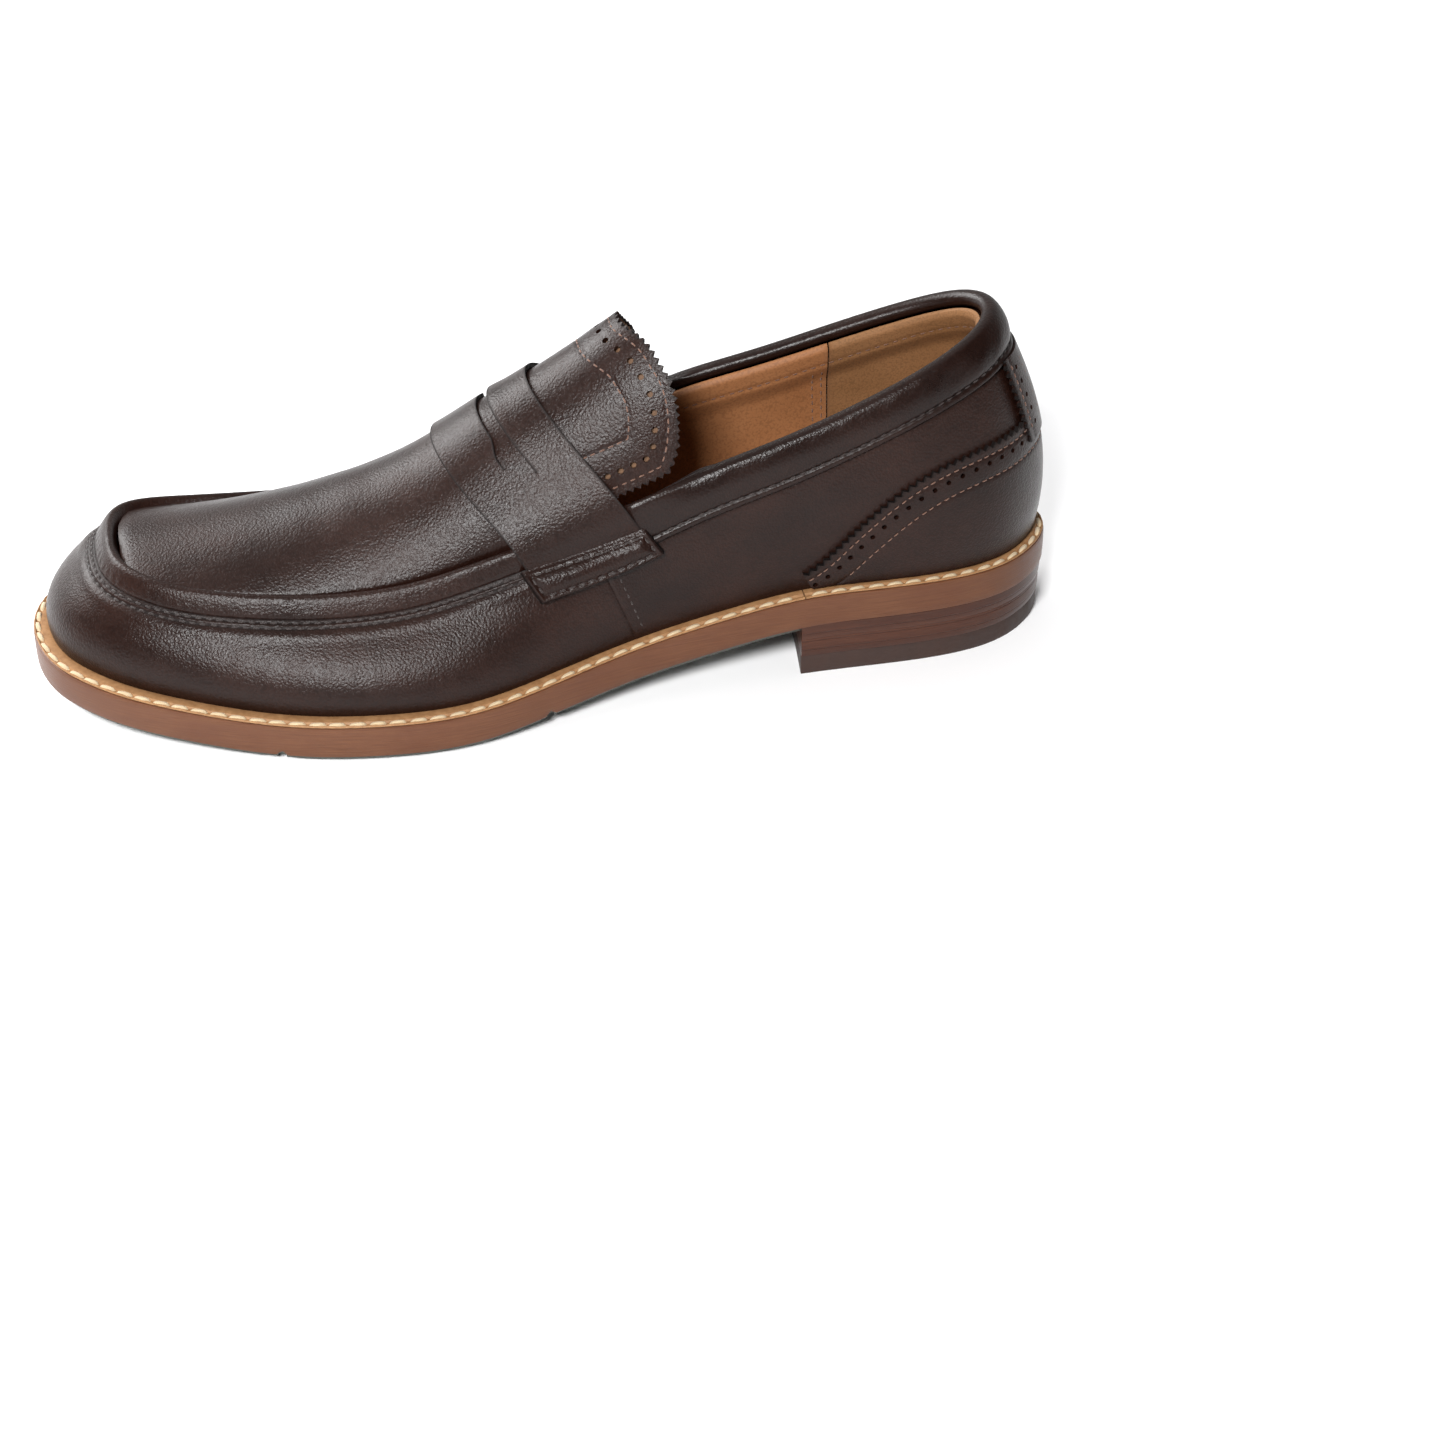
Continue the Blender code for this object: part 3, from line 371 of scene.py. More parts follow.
def travel(p):
    """Distance run along a polyline at each of its points."""
    return np.concatenate([[0], np.cumsum(np.linalg.norm(np.diff(p, axis=0), axis=1))])


def world(p):
    """Shoe millimetres to the shared frame in metres."""
    p = np.asarray(p, float)
    return np.stack([p[..., 0] - LENGTH / 2, p[..., 1] + Y_SHIFT, p[..., 2]], -1) / 1000.0


# ---- meshes -----------------------------------------------------------------
def place(name, data):
    """A new object in the scene."""
    ob = bpy.data.objects.new(name, data)
    bpy.context.scene.collection.objects.link(ob)
    return ob


def mesh_data(name, verts, faces, attr=None):
    """Mesh from vertices in shoe millimetres, its faces turned outwards."""
    me = bpy.data.meshes.new(name)
    me.from_pydata([tuple(v) for v in world(verts)], [], faces)
    # attr is stored as the edge attribute, which darkens cut edges (dye) and, on some pieces, grooves and gaps (painted
    # shade).
    if attr is not None:
        a = me.attributes.new("edge", 'FLOAT', 'POINT')
        a.data.foreach_set("value", np.asarray(attr, np.float32).ravel())
    bm = bmesh.new()
    bm.from_mesh(me)
    bmesh.ops.recalc_face_normals(bm, faces=bm.faces)
    bm.to_mesh(me)
    bm.free()
    return me


def mesh(name, verts, faces, look, slot, body="shoe", replaces=(), sharp=35.0, attr=None):
    """A piece with its material and body; the slot argument is not used."""
    me = mesh_data(name, verts, faces, attr)
    me.shade_smooth()
    if sharp:
        me.set_sharp_from_angle(angle=math.radians(sharp))
    me.materials.append(look)
    ob = place(name, me)
    if body:
        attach(ob, body)
    if replaces:
        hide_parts(*replaces)
    return ob


def quads(nu, nv, wrap_u=False, wrap_v=False):
    i, j = np.meshgrid(np.arange(nu if wrap_u else nu - 1), np.arange(nv if wrap_v else nv - 1), indexing="ij")
    a, b = (i + 1) % nu, (j + 1) % nv
    return np.stack([i * nv + j, a * nv + j, a * nv + b, i * nv + b], -1).reshape(-1, 4)


def shell(name, outer, inner, look, slot, keep=None, bevel=0.0, **kw):
    """A sheet with thickness between two matching point grids; keep marks the cells that exist."""
    nu, nv = outer.shape[:2]
    f = quads(nu, nv)
    if keep is not None:
        f = f[keep.ravel()]
    e = np.concatenate([f[:, [k, (k + 1) % 4]] for k in range(4)])
    key = np.sort(e, 1)
    _, first, count = np.unique(key, axis=0, return_index=True, return_counts=True)
    rim = e[first[count == 1]]
    m = nu * nv
    faces = [tuple(r) for r in f.tolist()] + [tuple(r) for r in (f[:, ::-1] + m).tolist()]
    faces += [(b, a, a + m, b + m) for a, b in rim.tolist()]
    used = np.unique(np.concatenate([f.ravel(), f.ravel() + m]))
    new = np.full(2 * m, -1)
    new[used] = np.arange(len(used))
    verts = np.concatenate([outer.reshape(-1, 3), inner.reshape(-1, 3)])[used]
    attr = kw.pop("attr", None)
    if attr is not None:
        attr = np.concatenate([np.ravel(attr), np.ravel(attr)])[used]
    faces = [tuple(int(new[v]) for v in q) for q in faces]
    ob = mesh(name, verts, faces, look, slot, attr=attr, **kw)
    if bevel:
        soften(ob, bevel)
    return ob


def soften(ob, width):
    """Bevels the cut edges by width millimetres."""
    b = ob.modifiers.new("cut_edges", 'BEVEL')
    b.width = width / 1000.0
    b.segments = 2
    b.limit_method = 'ANGLE'
    b.angle_limit = math.radians(50)
    b.use_clamp_overlap = True
    b.harden_normals = False
    settle_mesh(ob)


def settle_mesh(ob):
    """Applies an object's modifiers."""
    dg = bpy.context.evaluated_depsgraph_get()
    me = bpy.data.meshes.new_from_object(ob.evaluated_get(dg), preserve_all_data_layers=True, depsgraph=dg)
    ob.modifiers.clear()
    ob.data = me
    me.shade_smooth()
    me.set_sharp_from_angle(angle=math.radians(35))


def loop_body(name, rings, look, slot, wrap=False, **kw):
    """Closed sections (n, k, 3) lofted along a path, closed round or capped."""
    nu, nv = rings.shape[:2]
    faces = [tuple(r) for r in quads(nu, nv, wrap_u=wrap, wrap_v=True).tolist()]
    if not wrap:
        faces += [tuple(range(nv)), tuple((nu - 1) * nv + j for j in reversed(range(nv)))]
    return mesh(name, rings.reshape(-1, 3), faces, look, slot, **kw)


def resample(p, step=None, count=None):
    """Points of a polyline at even spacing."""
    d = travel(p)
    n = count or max(3, int(round(d[-1] / step)) + 1)
    g = np.linspace(0, d[-1], n)
    return np.stack([np.interp(g, d, p[:, k]) for k in range(p.shape[1])], -1), g


def respaced(p, a, b, step=None, count=None):
    """Points of a polyline at even spacing, with the two coordinates they come from."""
    q, _ = resample(np.concatenate([p, a[:, None], b[:, None]], 1), step, count)
    return q[:, :3], q[:, 3], q[:, 4]


def stitches(name, lines, look, slot, pitch=3.0, size=2.2, radius=0.3, body="shoe", flat=0.8, sink=0.45, lean=0.0,
             replaces=()):
    """Separate stitches along lines of (point, normal) pairs: each one a short bent cord whose ends dip in."""
    verts, faces = [], []
    rings, sides = 7, 6
    w = np.linspace(0, 2 * math.pi, sides, endpoint=False)
    a = np.linspace(-1, 1, rings)
    prof = np.sqrt(np.clip(1 - np.abs(a) ** 3.2, 0.04, 1))
    for p, nn in lines:
        both, g = resample(np.concatenate([p, nn], 1), 0.15)
        tan = unit(np.gradient(both[:, :3], axis=0))
        count = int(g[-1] // pitch)
        start = 0.5 * (g[-1] - count * pitch) + pitch / 2
        for k in range(count):
            c = start + k * pitch + 0.12 * math.sin(k * 2.399)
            at = c + a * size / 2
            pick = lambda src: np.stack([np.interp(at, g, src[:, i]) for i in range(3)], -1)
            pos, no, ta = pick(both[:, :3]), unit(pick(both[:, 3:])), unit(pick(tan))
            side = unit(np.cross(no, ta))
            pos = pos - no * (sink * np.abs(a) ** 4)[:, None] + side * (lean * a)[:, None]
            ring = (pos[:, None] + radius * prof[:, None, None]
                    * (side[:, None] * np.cos(w)[None, :, None] + flat * no[:, None] * np.sin(w)[None, :, None]))
            base = len(verts) * rings * sides
            verts.append(ring.reshape(-1, 3))
            q = quads(rings, sides, wrap_v=True) + base
            faces += [tuple(r) for r in q.tolist()]
            faces += [tuple(base + j for j in range(sides)),
                      tuple(base + (rings - 1) * sides + j for j in reversed(range(sides)))]
    return mesh(name, np.concatenate(verts), faces, look, slot, body=body, replaces=replaces, sharp=None)


def wall_line(t, h, n):
    """Line on the wall with its normals, n out from it."""
    p = wall_point(t, h)
    nn = wall(t, h, 1.0) - p
    return p + nn * np.asarray(n, float)[..., None], nn


def instep_line(s, u, n):
    p = instep_point(s, u)
    nn = instep(s, u, 1.0) - p
    return p + nn * np.asarray(n, float)[..., None], nn


def nearest(p, line):
    """Distance of points p (..., 3) to a dense polyline, and the place along it."""
    flat = p.reshape(-1, 3)
    best, at = np.full(len(flat), 1e9), np.zeros(len(flat), int)
    for k in range(0, len(flat), 4000):
        d = np.linalg.norm(flat[k:k + 4000, None] - line[None], axis=-1)
        at[k:k + 4000] = d.argmin(1)
        best[k:k + 4000] = d.min(1)
    return best.reshape(p.shape[:-1]), at.reshape(p.shape[:-1])


def punch(ob, centres, normals, radius, depth=2.4):
    """Round holes through a sheet."""
    w = np.linspace(0, 2 * math.pi, 16, endpoint=False)
    verts, faces = [], []
    for k, (c, n) in enumerate(zip(centres, normals)):
        a = unit(np.cross(n, np.array([0.3, 0.2, 0.9])))
        b = np.cross(n, a)
        ring = radius * (a * np.cos(w)[:, None] + b * np.sin(w)[:, None])
        verts += [c + ring - n * depth, c + ring + n * depth]
        o = 32 * k
        faces += [(o + j, o + (j + 1) % 16, o + 16 + (j + 1) % 16, o + 16 + j) for j in range(16)]
        faces += [tuple(o + j for j in reversed(range(16))), tuple(o + 16 + j for j in range(16))]
    tool = place("punch", mesh_data("punch", np.concatenate(verts), faces))
    m = ob.modifiers.new("holes", 'BOOLEAN')
    m.operation = 'DIFFERENCE'
    m.solver = 'EXACT'
    m.use_self = True
    m.object = tool
    bpy.context.view_layer.update()
    settle_mesh(ob)
    bpy.data.objects.remove(tool)


# ---- looks ------------------------------------------------------------------
class Look:
    """Node material in the making; coordinates are the rest position in millimetres."""

    def __init__(self, name, rough=0.5, metal=0.0, **fixed):
        self.m = bpy.data.materials.new(name)
        self.m.use_nodes = True
        self.t = self.m.node_tree
        self.b = self.t.nodes["Principled BSDF"]
        self.b.inputs["Roughness"].default_value = rough
        self.b.inputs["Metallic"].default_value = metal
        for k, v in fixed.items():
            self.b.inputs[k.replace("_", " ")].default_value = v
        self.here = self.t.nodes.new("ShaderNodeTexCoord").outputs["Object"]

    def node(self, kind, links=(), **values):
        n = self.t.nodes.new(kind)
        for k, v in values.items():
            setattr(n, k, v)
        for k, v in links:
            if isinstance(v, bpy.types.NodeSocket):
                self.t.links.new(v, n.inputs[k])
            else:
                n.inputs[k].default_value = v
        return n

    def scaled(self, x, y=None, z=None):
        """The position times x, y, z per millimetre."""
        s = (x * 1000, (y or x) * 1000, (z or x) * 1000)
        return self.node("ShaderNodeMapping", [("Vector", self.here), ("Scale", s)]).outputs[0]

    def noise(self, vec, detail=3.0, rough=0.55):
        return self.node("ShaderNodeTexNoise", [("Vector", vec), ("Scale", 1.0), ("Detail", detail),
                                                ("Roughness", rough)]).outputs[0]

    def cells(self, vec):
        return self.node("ShaderNodeTexVoronoi", [("Vector", vec), ("Scale", 1.0)]).outputs["Distance"]

    def math(self, op, a, b=0.0):
        return self.node("ShaderNodeMath", [(0, a), (1, b)], operation=op).outputs[0]

    def times(self, a, b):
        return self.math('MULTIPLY', a, b)

    def plus(self, a, b):
        return self.math('ADD', a, b)

    def span(self, x, a, b, c, d):
        return self.node("ShaderNodeMapRange", [(0, x), (1, a), (2, b), (3, c), (4, d)]).outputs[0]

    def mix(self, f, a, b):
        a, b = (v if isinstance(v, bpy.types.NodeSocket) else (*v, 1.0) for v in (a, b))
        return self.node("ShaderNodeMix", [(0, f), (6, a), (7, b)], data_type='RGBA', blend_type='MIX').outputs[2]

    # Edge attribute: dye on cut edges, partly painted shade along grooves, seams and the strap's slot.
    def edge(self):
        return self.node("ShaderNodeAttribute", attribute_name="edge").outputs["Fac"]

    def put(self, **links):
        for k, v in links.items():
            self.t.links.new(v, self.b.inputs[k.replace("_", " ")])

    def bump(self, height, depth, strength=1.0, under=None):
        """Bump whose full height is depth millimetres."""
        links = [("Strength", strength), ("Distance", depth / 1000.0), ("Height", height)]
        if under is not None:
            links.append(("Normal", under))
        return self.node("ShaderNodeBump", links).outputs[0]


def leather(name, dark, light, rough=0.30, grain=1.3, depth=0.10, spread=0.05, level=0.22, tint=None):
    """Grained leather: pebbles with painted shade in the creases between them, pores, mottled dye, and cut edges in a
    paler or darker tint, which is painted shade where the edge mask marks grooves and gaps.
    """
    k = Look(name, rough, Specular_IOR_Level=level)
    ripple = k.node("ShaderNodeTexNoise", [("Vector", k.scaled(grain * 0.8)), ("Scale", 1.0), ("Detail", 2.0)])
    warp = k.node("ShaderNodeVectorMath", [(0, k.scaled(grain)), (1, ripple.outputs["Color"])],
                  operation='ADD').outputs[0]
    pebble = k.span(k.cells(warp), 0.05, 0.75, 1.0, 0.0)
    pores = k.noise(k.scaled(grain * 2.6), 2.0)
    height = k.plus(k.times(pebble, 0.7), k.times(pores, 0.6))
    soft = k.noise(k.scaled(0.09), 3.0)
    n1 = k.bump(soft, 0.15, 0.6)
    k.put(Normal=k.bump(height, depth, 1.0, n1))
    cloud = k.noise(k.scaled(0.035, 0.05, 0.05), 4.0, 0.6)
    c = k.mix(k.span(cloud, 0.33, 0.68, 0.0, 1.0), dark, light)
    # The creases between pebbles are darkened: painted shade in the grain's hollows.
    c = k.mix(k.span(pebble, 0.0, 0.35, 0.35, 0.0), c, [v * 0.45 for v in dark])
    # The edge mask tints cut edges (dye); where it marks stitch grooves, the collar's lower edge and the strap's slot
    # and edges, the darkening is painted shade.
    c = k.mix(k.times(k.edge(), 0.9), c, tint or [v * 0.2 for v in dark])
    k.put(Base_Color=c)
    r = k.plus(k.span(cloud, 0.3, 0.7, rough - spread, rough + spread), k.times(pores, 0.08))
    k.put(Roughness=k.plus(r, k.times(k.edge(), 0.4)))
    return k.m


def plain(name, a, b, rough, scale=(1.0, 1.0, 1.0), depth=0.05, contrast=(0.35, 0.65), fine=2.5, metal=0.0, **fixed):
    """Surface with a two-tone noise of the given scale, with the same noise and a finer one as relief."""
    k = Look(name, rough, metal, **fixed)
    n = k.noise(k.scaled(*scale), 4.0, 0.6)
    f = k.noise(k.scaled(*[v * fine for v in scale]), 2.0)
    k.put(Base_Color=k.mix(k.span(n, contrast[0], contrast[1], 0.0, 1.0), a, b))
    k.put(Roughness=k.span(f, 0.3, 0.7, rough - 0.07, rough + 0.07))
    k.put(Normal=k.bump(k.plus(n, k.times(f, 0.5)), depth))
    return k.m


def thread(name, a, b, twist=0.9):
    """Waxed thread: slanted strands, with painted shade in the grooves between them."""
    k = Look(name, 0.6, Sheen_Weight=0.2, Sheen_Roughness=0.5)
    w = k.node("ShaderNodeTexWave", [("Vector", k.scaled(twist, twist, twist)), ("Scale", 1.0), ("Distortion", 1.5),
                                     ("Detail", 1.0)], bands_direction='DIAGONAL').outputs["Fac"]
    k.put(Base_Color=k.mix(w, a, b), Normal=k.bump(w, 0.08))
    return k.m


def stack(name):
    """Burnished heel leather: thin layers with dark glue lines, and fibres along them."""
    k = Look(name, 0.36, Specular_IOR_Level=0.3)
    z = k.node("ShaderNodeSeparateXYZ", [(0, k.scaled(1.0))]).outputs[2]
    fibre = k.noise(k.scaled(0.12, 0.12, 2.6), 5.0, 0.65)
    layer = k.math('PINGPONG', k.plus(z, k.times(fibre, 0.25)), 1.42)
    line = k.span(layer, 0.0, 0.16, 1.0, 0.0)
    tone = k.noise(k.node("ShaderNodeMapping", [("Vector", k.here), ("Scale", (8.0, 8.0, 360.0))]).outputs[0], 1.0)
    c = k.mix(k.span(fibre, 0.3, 0.7, 0.0, 1.0), (0.0432, 0.0130, 0.0065), (0.076, 0.0259, 0.0130))
    c = k.mix(k.span(tone, 0.35, 0.65, 0.0, 0.55), c, (0.0324, 0.0101, 0.0058))
    c = k.mix(k.times(line, 0.6), c, (0.0216, 0.0086, 0.0065))
    k.put(Base_Color=c, Roughness=k.span(fibre, 0.3, 0.7, 0.28, 0.42))
    k.put(Normal=k.bump(k.math('SUBTRACT', k.times(fibre, 0.6), line), 0.08))
    return k.m


def edge_leather(name):
    """Sole edge: burnished brown with fine streaks and spots along it, darker where the edge attribute is set."""
    k = Look(name, 0.42, Specular_IOR_Level=0.3)
    fibre = k.noise(k.scaled(0.1, 0.1, 3.2), 5.0, 0.65)
    spots = k.noise(k.scaled(0.06), 3.0)
    c = k.mix(k.span(fibre, 0.3, 0.72, 0.0, 1.0), (0.085, 0.0299, 0.0122), (0.136, 0.053, 0.0231))
    c = k.mix(k.span(spots, 0.4, 0.7, 0.0, 0.5), c, (0.088, 0.0286, 0.0122))
    c = k.mix(k.times(k.edge(), 0.6), c, (0.061, 0.0238, 0.0136))
    k.put(Base_Color=c, Roughness=k.span(fibre, 0.3, 0.7, 0.34, 0.5), Normal=k.bump(fibre, 0.07))
    return k.m


def rubber(name, a, b):
    k = Look(name, 0.62)
    f = k.noise(k.scaled(1.6), 3.0)
    scuff = k.noise(k.scaled(0.05, 0.2, 0.05), 4.0, 0.7)
    k.put(Base_Color=k.mix(k.span(scuff, 0.4, 0.75, 0.0, 1.0), a, b), Roughness=k.span(scuff, 0.3, 0.7, 0.5, 0.72))
    k.put(Normal=k.bump(f, 0.05))
    return k.m


UPPER = leather("upper_leather_look", (0.0097, 0.0033, 0.0020), (0.0194, 0.0070, 0.0044))
EDGE = leather("collar_leather_look", (0.0075, 0.0027, 0.0018), (0.0150, 0.0056, 0.0036), rough=0.27, depth=0.06)
LINING = leather("lining_leather_look", (0.252, 0.103, 0.0389), (0.310, 0.133, 0.053), rough=0.55, grain=1.4,
                 depth=0.04, level=0.3, tint=(0.238, 0.101, 0.0396))
# A darker copy of the tan lining for the tongue's underside: painted shade, so its holes and the gap under the tongue
# read dark.
LINING_PAINTED_SHADE = leather("tongue_lining_painted_shade_look", (0.115, 0.062, 0.034), (0.17, 0.092, 0.05), rough=0.6, depth=0.04, level=0.25)
GRIP = leather("heel_lining_look", (0.194, 0.092, 0.0360), (0.238, 0.115, 0.0475), rough=0.62, grain=1.7, depth=0.05,
               level=0.25, tint=(0.173, 0.079, 0.0324))
SOCK = leather("sock_leather_look", (0.195, 0.086, 0.0360), (0.255, 0.116, 0.051), rough=0.5, grain=1.3, depth=0.04,
               level=0.3)
WELT = plain("welt_look", (0.240, 0.120, 0.0496), (0.336, 0.180, 0.080), 0.55, (0.5, 0.5, 1.4), 0.08,
             Specular_IOR_Level=0.25)
SIDE = edge_leather("sole_edge_look")
STACK = stack("heel_stack_look")
TREAD = rubber("sole_rubber_look", (0.055, 0.062, 0.05), (0.085, 0.09, 0.075))
TOP = rubber("top_lift_look", (0.0240, 0.0090, 0.0054), (0.0372, 0.0150, 0.0090))
DARK = thread("dark_thread_look", (0.010, 0.005, 0.004), (0.026, 0.013, 0.010))
BROWN = thread("brown_thread_look", (0.104, 0.0464, 0.0288), (0.192, 0.096, 0.060))
CREAM = thread("cream_thread_look", (0.478, 0.340, 0.184), (0.736, 0.589, 0.386), 1.3)
HIDDEN = {
    "nail_steel": plain("nail_steel_look", (0.42, 0.42, 0.43), (0.6, 0.6, 0.61), 0.32, (1.0, 1.0, 6.0), 0.01,
                        metal=1.0),
    "shank_steel": plain("shank_steel_look", (0.3, 0.3, 0.32), (0.45, 0.45, 0.46), 0.4, (0.2, 3.0, 3.0), 0.01,
                         metal=1.0),
    "cork": plain("cork_look", (0.22, 0.11, 0.045), (0.55, 0.34, 0.17), 0.85, (0.9, 0.9, 0.9), 0.15),
    "insole_board": plain("board_look", (0.36, 0.25, 0.14), (0.5, 0.37, 0.23), 0.8, (0.6, 1.6, 0.6), 0.05),
    "stiffener_board": plain("stiffener_look", (0.5, 0.46, 0.38), (0.62, 0.58, 0.5), 0.85, (1.2, 1.2, 1.2), 0.06),
    "foam": plain("foam_look", (0.62, 0.56, 0.44), (0.75, 0.7, 0.58), 0.9, (1.5, 1.5, 1.5), 0.15),
    "cord": thread("cord_look", (0.5, 0.42, 0.3), (0.7, 0.62, 0.5)),
}


# ---- upper ------------------------------------------------------------------
MARGIN = [(9.0, 6.75), (6.0, 6.75), (3.3, 6.75), (1.35, 7.25), (0.35, 8.4)]
ROW_A, ROW_B = 8.0, 9.6
STRAP_FRONT, STRAP_WIDTH = 138.5, 32.5
TONGUE_FRONT = 165.8


def seam_line(s_low, s_high, side, hs):
    v = [float(station_h(np.array(s_low + (s_high - s_low) * q), side, min(q, 0.97))) for q in hs]
    return np.array(v) - (FULL if side > 0 else 0)


def ease(n, k=0.0012):
    """0 to 1 with extra steps at both ends."""
    near = k * np.array([0.0, 1.0, 2.0, 3.2, 5.0])
    return np.concatenate([near, np.linspace(k * 8, 1 - k * 8, n), 1 - near[::-1]])


def pucker(d, d0, run, pitch, amp, width=1.3):
    """Dent along a stitched line, deeper at each stitch."""
    return -amp * dent(d - d0, width) * (0.7 + 0.3 * np.cos(2 * math.pi * run / pitch))


def wall_body(name, t0, t1, n, top_gap, look, slot, relief, n_back=-1.4, replaces=(), roll=(0.55, 0.55), painted_shade_rows=()):
    """Part of the side wall between two seams given on 25 heights, lasted under the foot line."""
    hk = np.linspace(0, 1, len(t0))
    rows = np.concatenate([np.linspace(0, 1, 20)[:-1] * 0.72, np.linspace(0.72, 1, 26)])
    i = ease(n)[:, None]
    h = rows[None, :] + 0 * i
    for _ in range(3):
        t = np.interp(h, hk, t0) * (1 - i) + np.interp(h, hk, t1) * i
        top = h_below(t[:, -1], top_gap + 0 * t[:, -1])[:, None]
        h = rows[None, :] * top
    p = wall_point(t, h)
    d = arc(t, np.ones(t.shape)) - arc(t, h)
    run = travel(p[:, 30])[:, None]
    lift = relief(t, h, d, run)
    gap_a, gap_b = run, run[-1] - run
    for amp, g in zip(roll, (gap_a, gap_b)):
        lift = lift - amp * dent(g, 0.75 + 0.2 * (amp > 1))
    base = t[:, 0]
    out, back = wall(t, h, lift), wall(t, h, n_back + np.minimum(lift, 0))
    under = []
    for inset, z in MARGIN:
        under.append(raised(outline(base, np.full(len(base), -inset)), z))
    under = np.stack(under, 1)
    up = np.stack([0 * under[..., 0], 0 * under[..., 0], 0.9 + 0 * under[..., 0]], -1)
    inner = under + up
    inner[:, -2:, :2] -= plan_normal(base, 0)[:, None] * 0.9
    e = np.maximum(dent(gap_a, 0.5) * (roll[0] > 0.1), dent(gap_b, 0.5) * (roll[1] > 0.1)) + 0 * t
    # The listed rows are darkened: painted shade in the two stitch grooves and where the ridge's edge meets the vamp at
    # 6.9 mm.
    for row in painted_shade_rows:
        e = np.maximum(e, 0.8 * dent(d - row, 0.4))
    attr = np.concatenate([0 * under[..., 0], e], 1)
    return shell(name, np.concatenate([under, out], 1), np.concatenate([inner, back], 1), look, slot, attr=attr,
                 replaces=replaces)


def build_upper():
    hk = np.linspace(0, 1, 25)
    lat, med = seam_line(172.5, 158, -1, hk), seam_line(172.5, 158, 1, hk)
    folds = [(5.4, 0.2, 1.0), (28.6, 0.25, 1.1)]

    def vamp_relief(t, h, d, run):
        z = pucker(d, ROW_A, run, 3.0, 0.28, 0.5) + pucker(d, ROW_B, run, 3.0, 0.28, 0.5) + 0.3 * dent(d - 11.8, 1.6)
        z = z + 0.22 * dent(d - 8.8, 0.5) - 0.35 * dent(d - 6.2, 0.8)
        flex = 0.5 + 0.5 * np.sin(run * 0.9 + d * 0.25)
        for at, amp, w in folds:
            z = z - (amp * dent(np.mod(t + 4, FULL) - 4 - at, w) * flex
                     * smooth01((d - 9) / 12) * smooth01(h / 0.3) * 0.5)
        return z

    wall_body("vamp_leather", med, lat, 400, 6.5, UPPER, "upper_leather", vamp_relief, replaces=["vamp"],
              painted_shade_rows=(6.9, ROW_A, ROW_B))

    def quarter_relief(t, h, d, run):
        s = wall_point(t, h)[..., 0]
        z = -0.3 * dent(d - 13.6, 0.9)
        wave = np.sin(s * 0.32 + d * 0.12) * 0.10 + np.sin(s * 0.13 - d * 0.2 + 1.0) * 0.14
        return z + (wave * smooth01(h / 0.35) * smooth01((d - 13) / 8)
                    * smooth01((260 - s) / 40) * smooth01((s - 176) / 10))

    wall_body("quarter_lateral_leather", lat - 0.07, np.full(25, HALF - 0.012), 210, 6.8, UPPER, "upper_leather",
              quarter_relief, replaces=["quarter_lateral"], roll=(1.5, 0.5))
    wall_body("quarter_medial_leather", np.full(25, HALF + 0.012), med + FULL + 0.07, 210, 6.8, UPPER, "upper_leather",
              quarter_relief, replaces=["quarter_medial"], roll=(0.5, 1.5))
    lines = []
    for a, sgn in ((lat, 1), (med + FULL, -1)):
        h = np.linspace(0.03, 0.8, 120)
        lines.append(wall_line(np.interp(h, hk, a) + sgn * 0.11, h, 0.02))
    stitches("side_seam_stitches", lines, DARK, "dark_thread", 2.6, 1.9, 0.22)


def band_shape(s, u):
    """Place across the strap's width (0 front, 1 rear) of a point of the instep."""
    return (slant(instep_point(s, u)) - STRAP_FRONT - 5 * u * u) / STRAP_WIDTH


def build_plug():
    v = np.sin(np.linspace(-1, 1, 71) * math.pi / 2) * 0.999
    f = np.concatenate([[0, 0.008, 0.02, 0.035, 0.055, 0.08], np.linspace(0.11, 1, 84)])
    end = instep_at(165.6 + 5 * v * v, v)
    s = 29.0 + (end[None, :] - 29.0) * f[:, None]
    u = v[None, :] + 0 * s
    flex = np.exp(-((s - 92) / 26) ** 2) * (1 - u * u)
    crease = 0.05 * flex * np.sin((s + 9 * u * u + 3 * u) * 0.42)
    crease = crease - 0.6 * dent((1 - np.abs(u)) * 100, 1.3) - 0.6 * dent(s - 29.0, 1.2)
    slot = band_shape(s, u) - SLOT_AT + 0.11
    crease = crease + 0.5 * dent(slot, 0.05) * np.clip(1 - (u / 0.6) ** 2, 0, 1)
    shell("apron_plug_leather", instep(s, u, crease), instep(s, u, crease - 1.3), UPPER, "upper_leather",
          replaces=["apron_plug"], attr=0 * s)
    w = v * 0.87
    end = instep_at(164.6 + 5 * w * w, w)  # stops before the tongue's lining
    s2 = 37.0 + (end[None, :] - 37.0) * np.linspace(0, 1, 50)[:, None]
    w = w[None, :] + 0 * s2
    shell("plug_lining_leather", instep(s2, w, -2.1), instep(s2, w, -3.0), LINING,
          "tan_lining_leather", replaces=["plug_lining"])


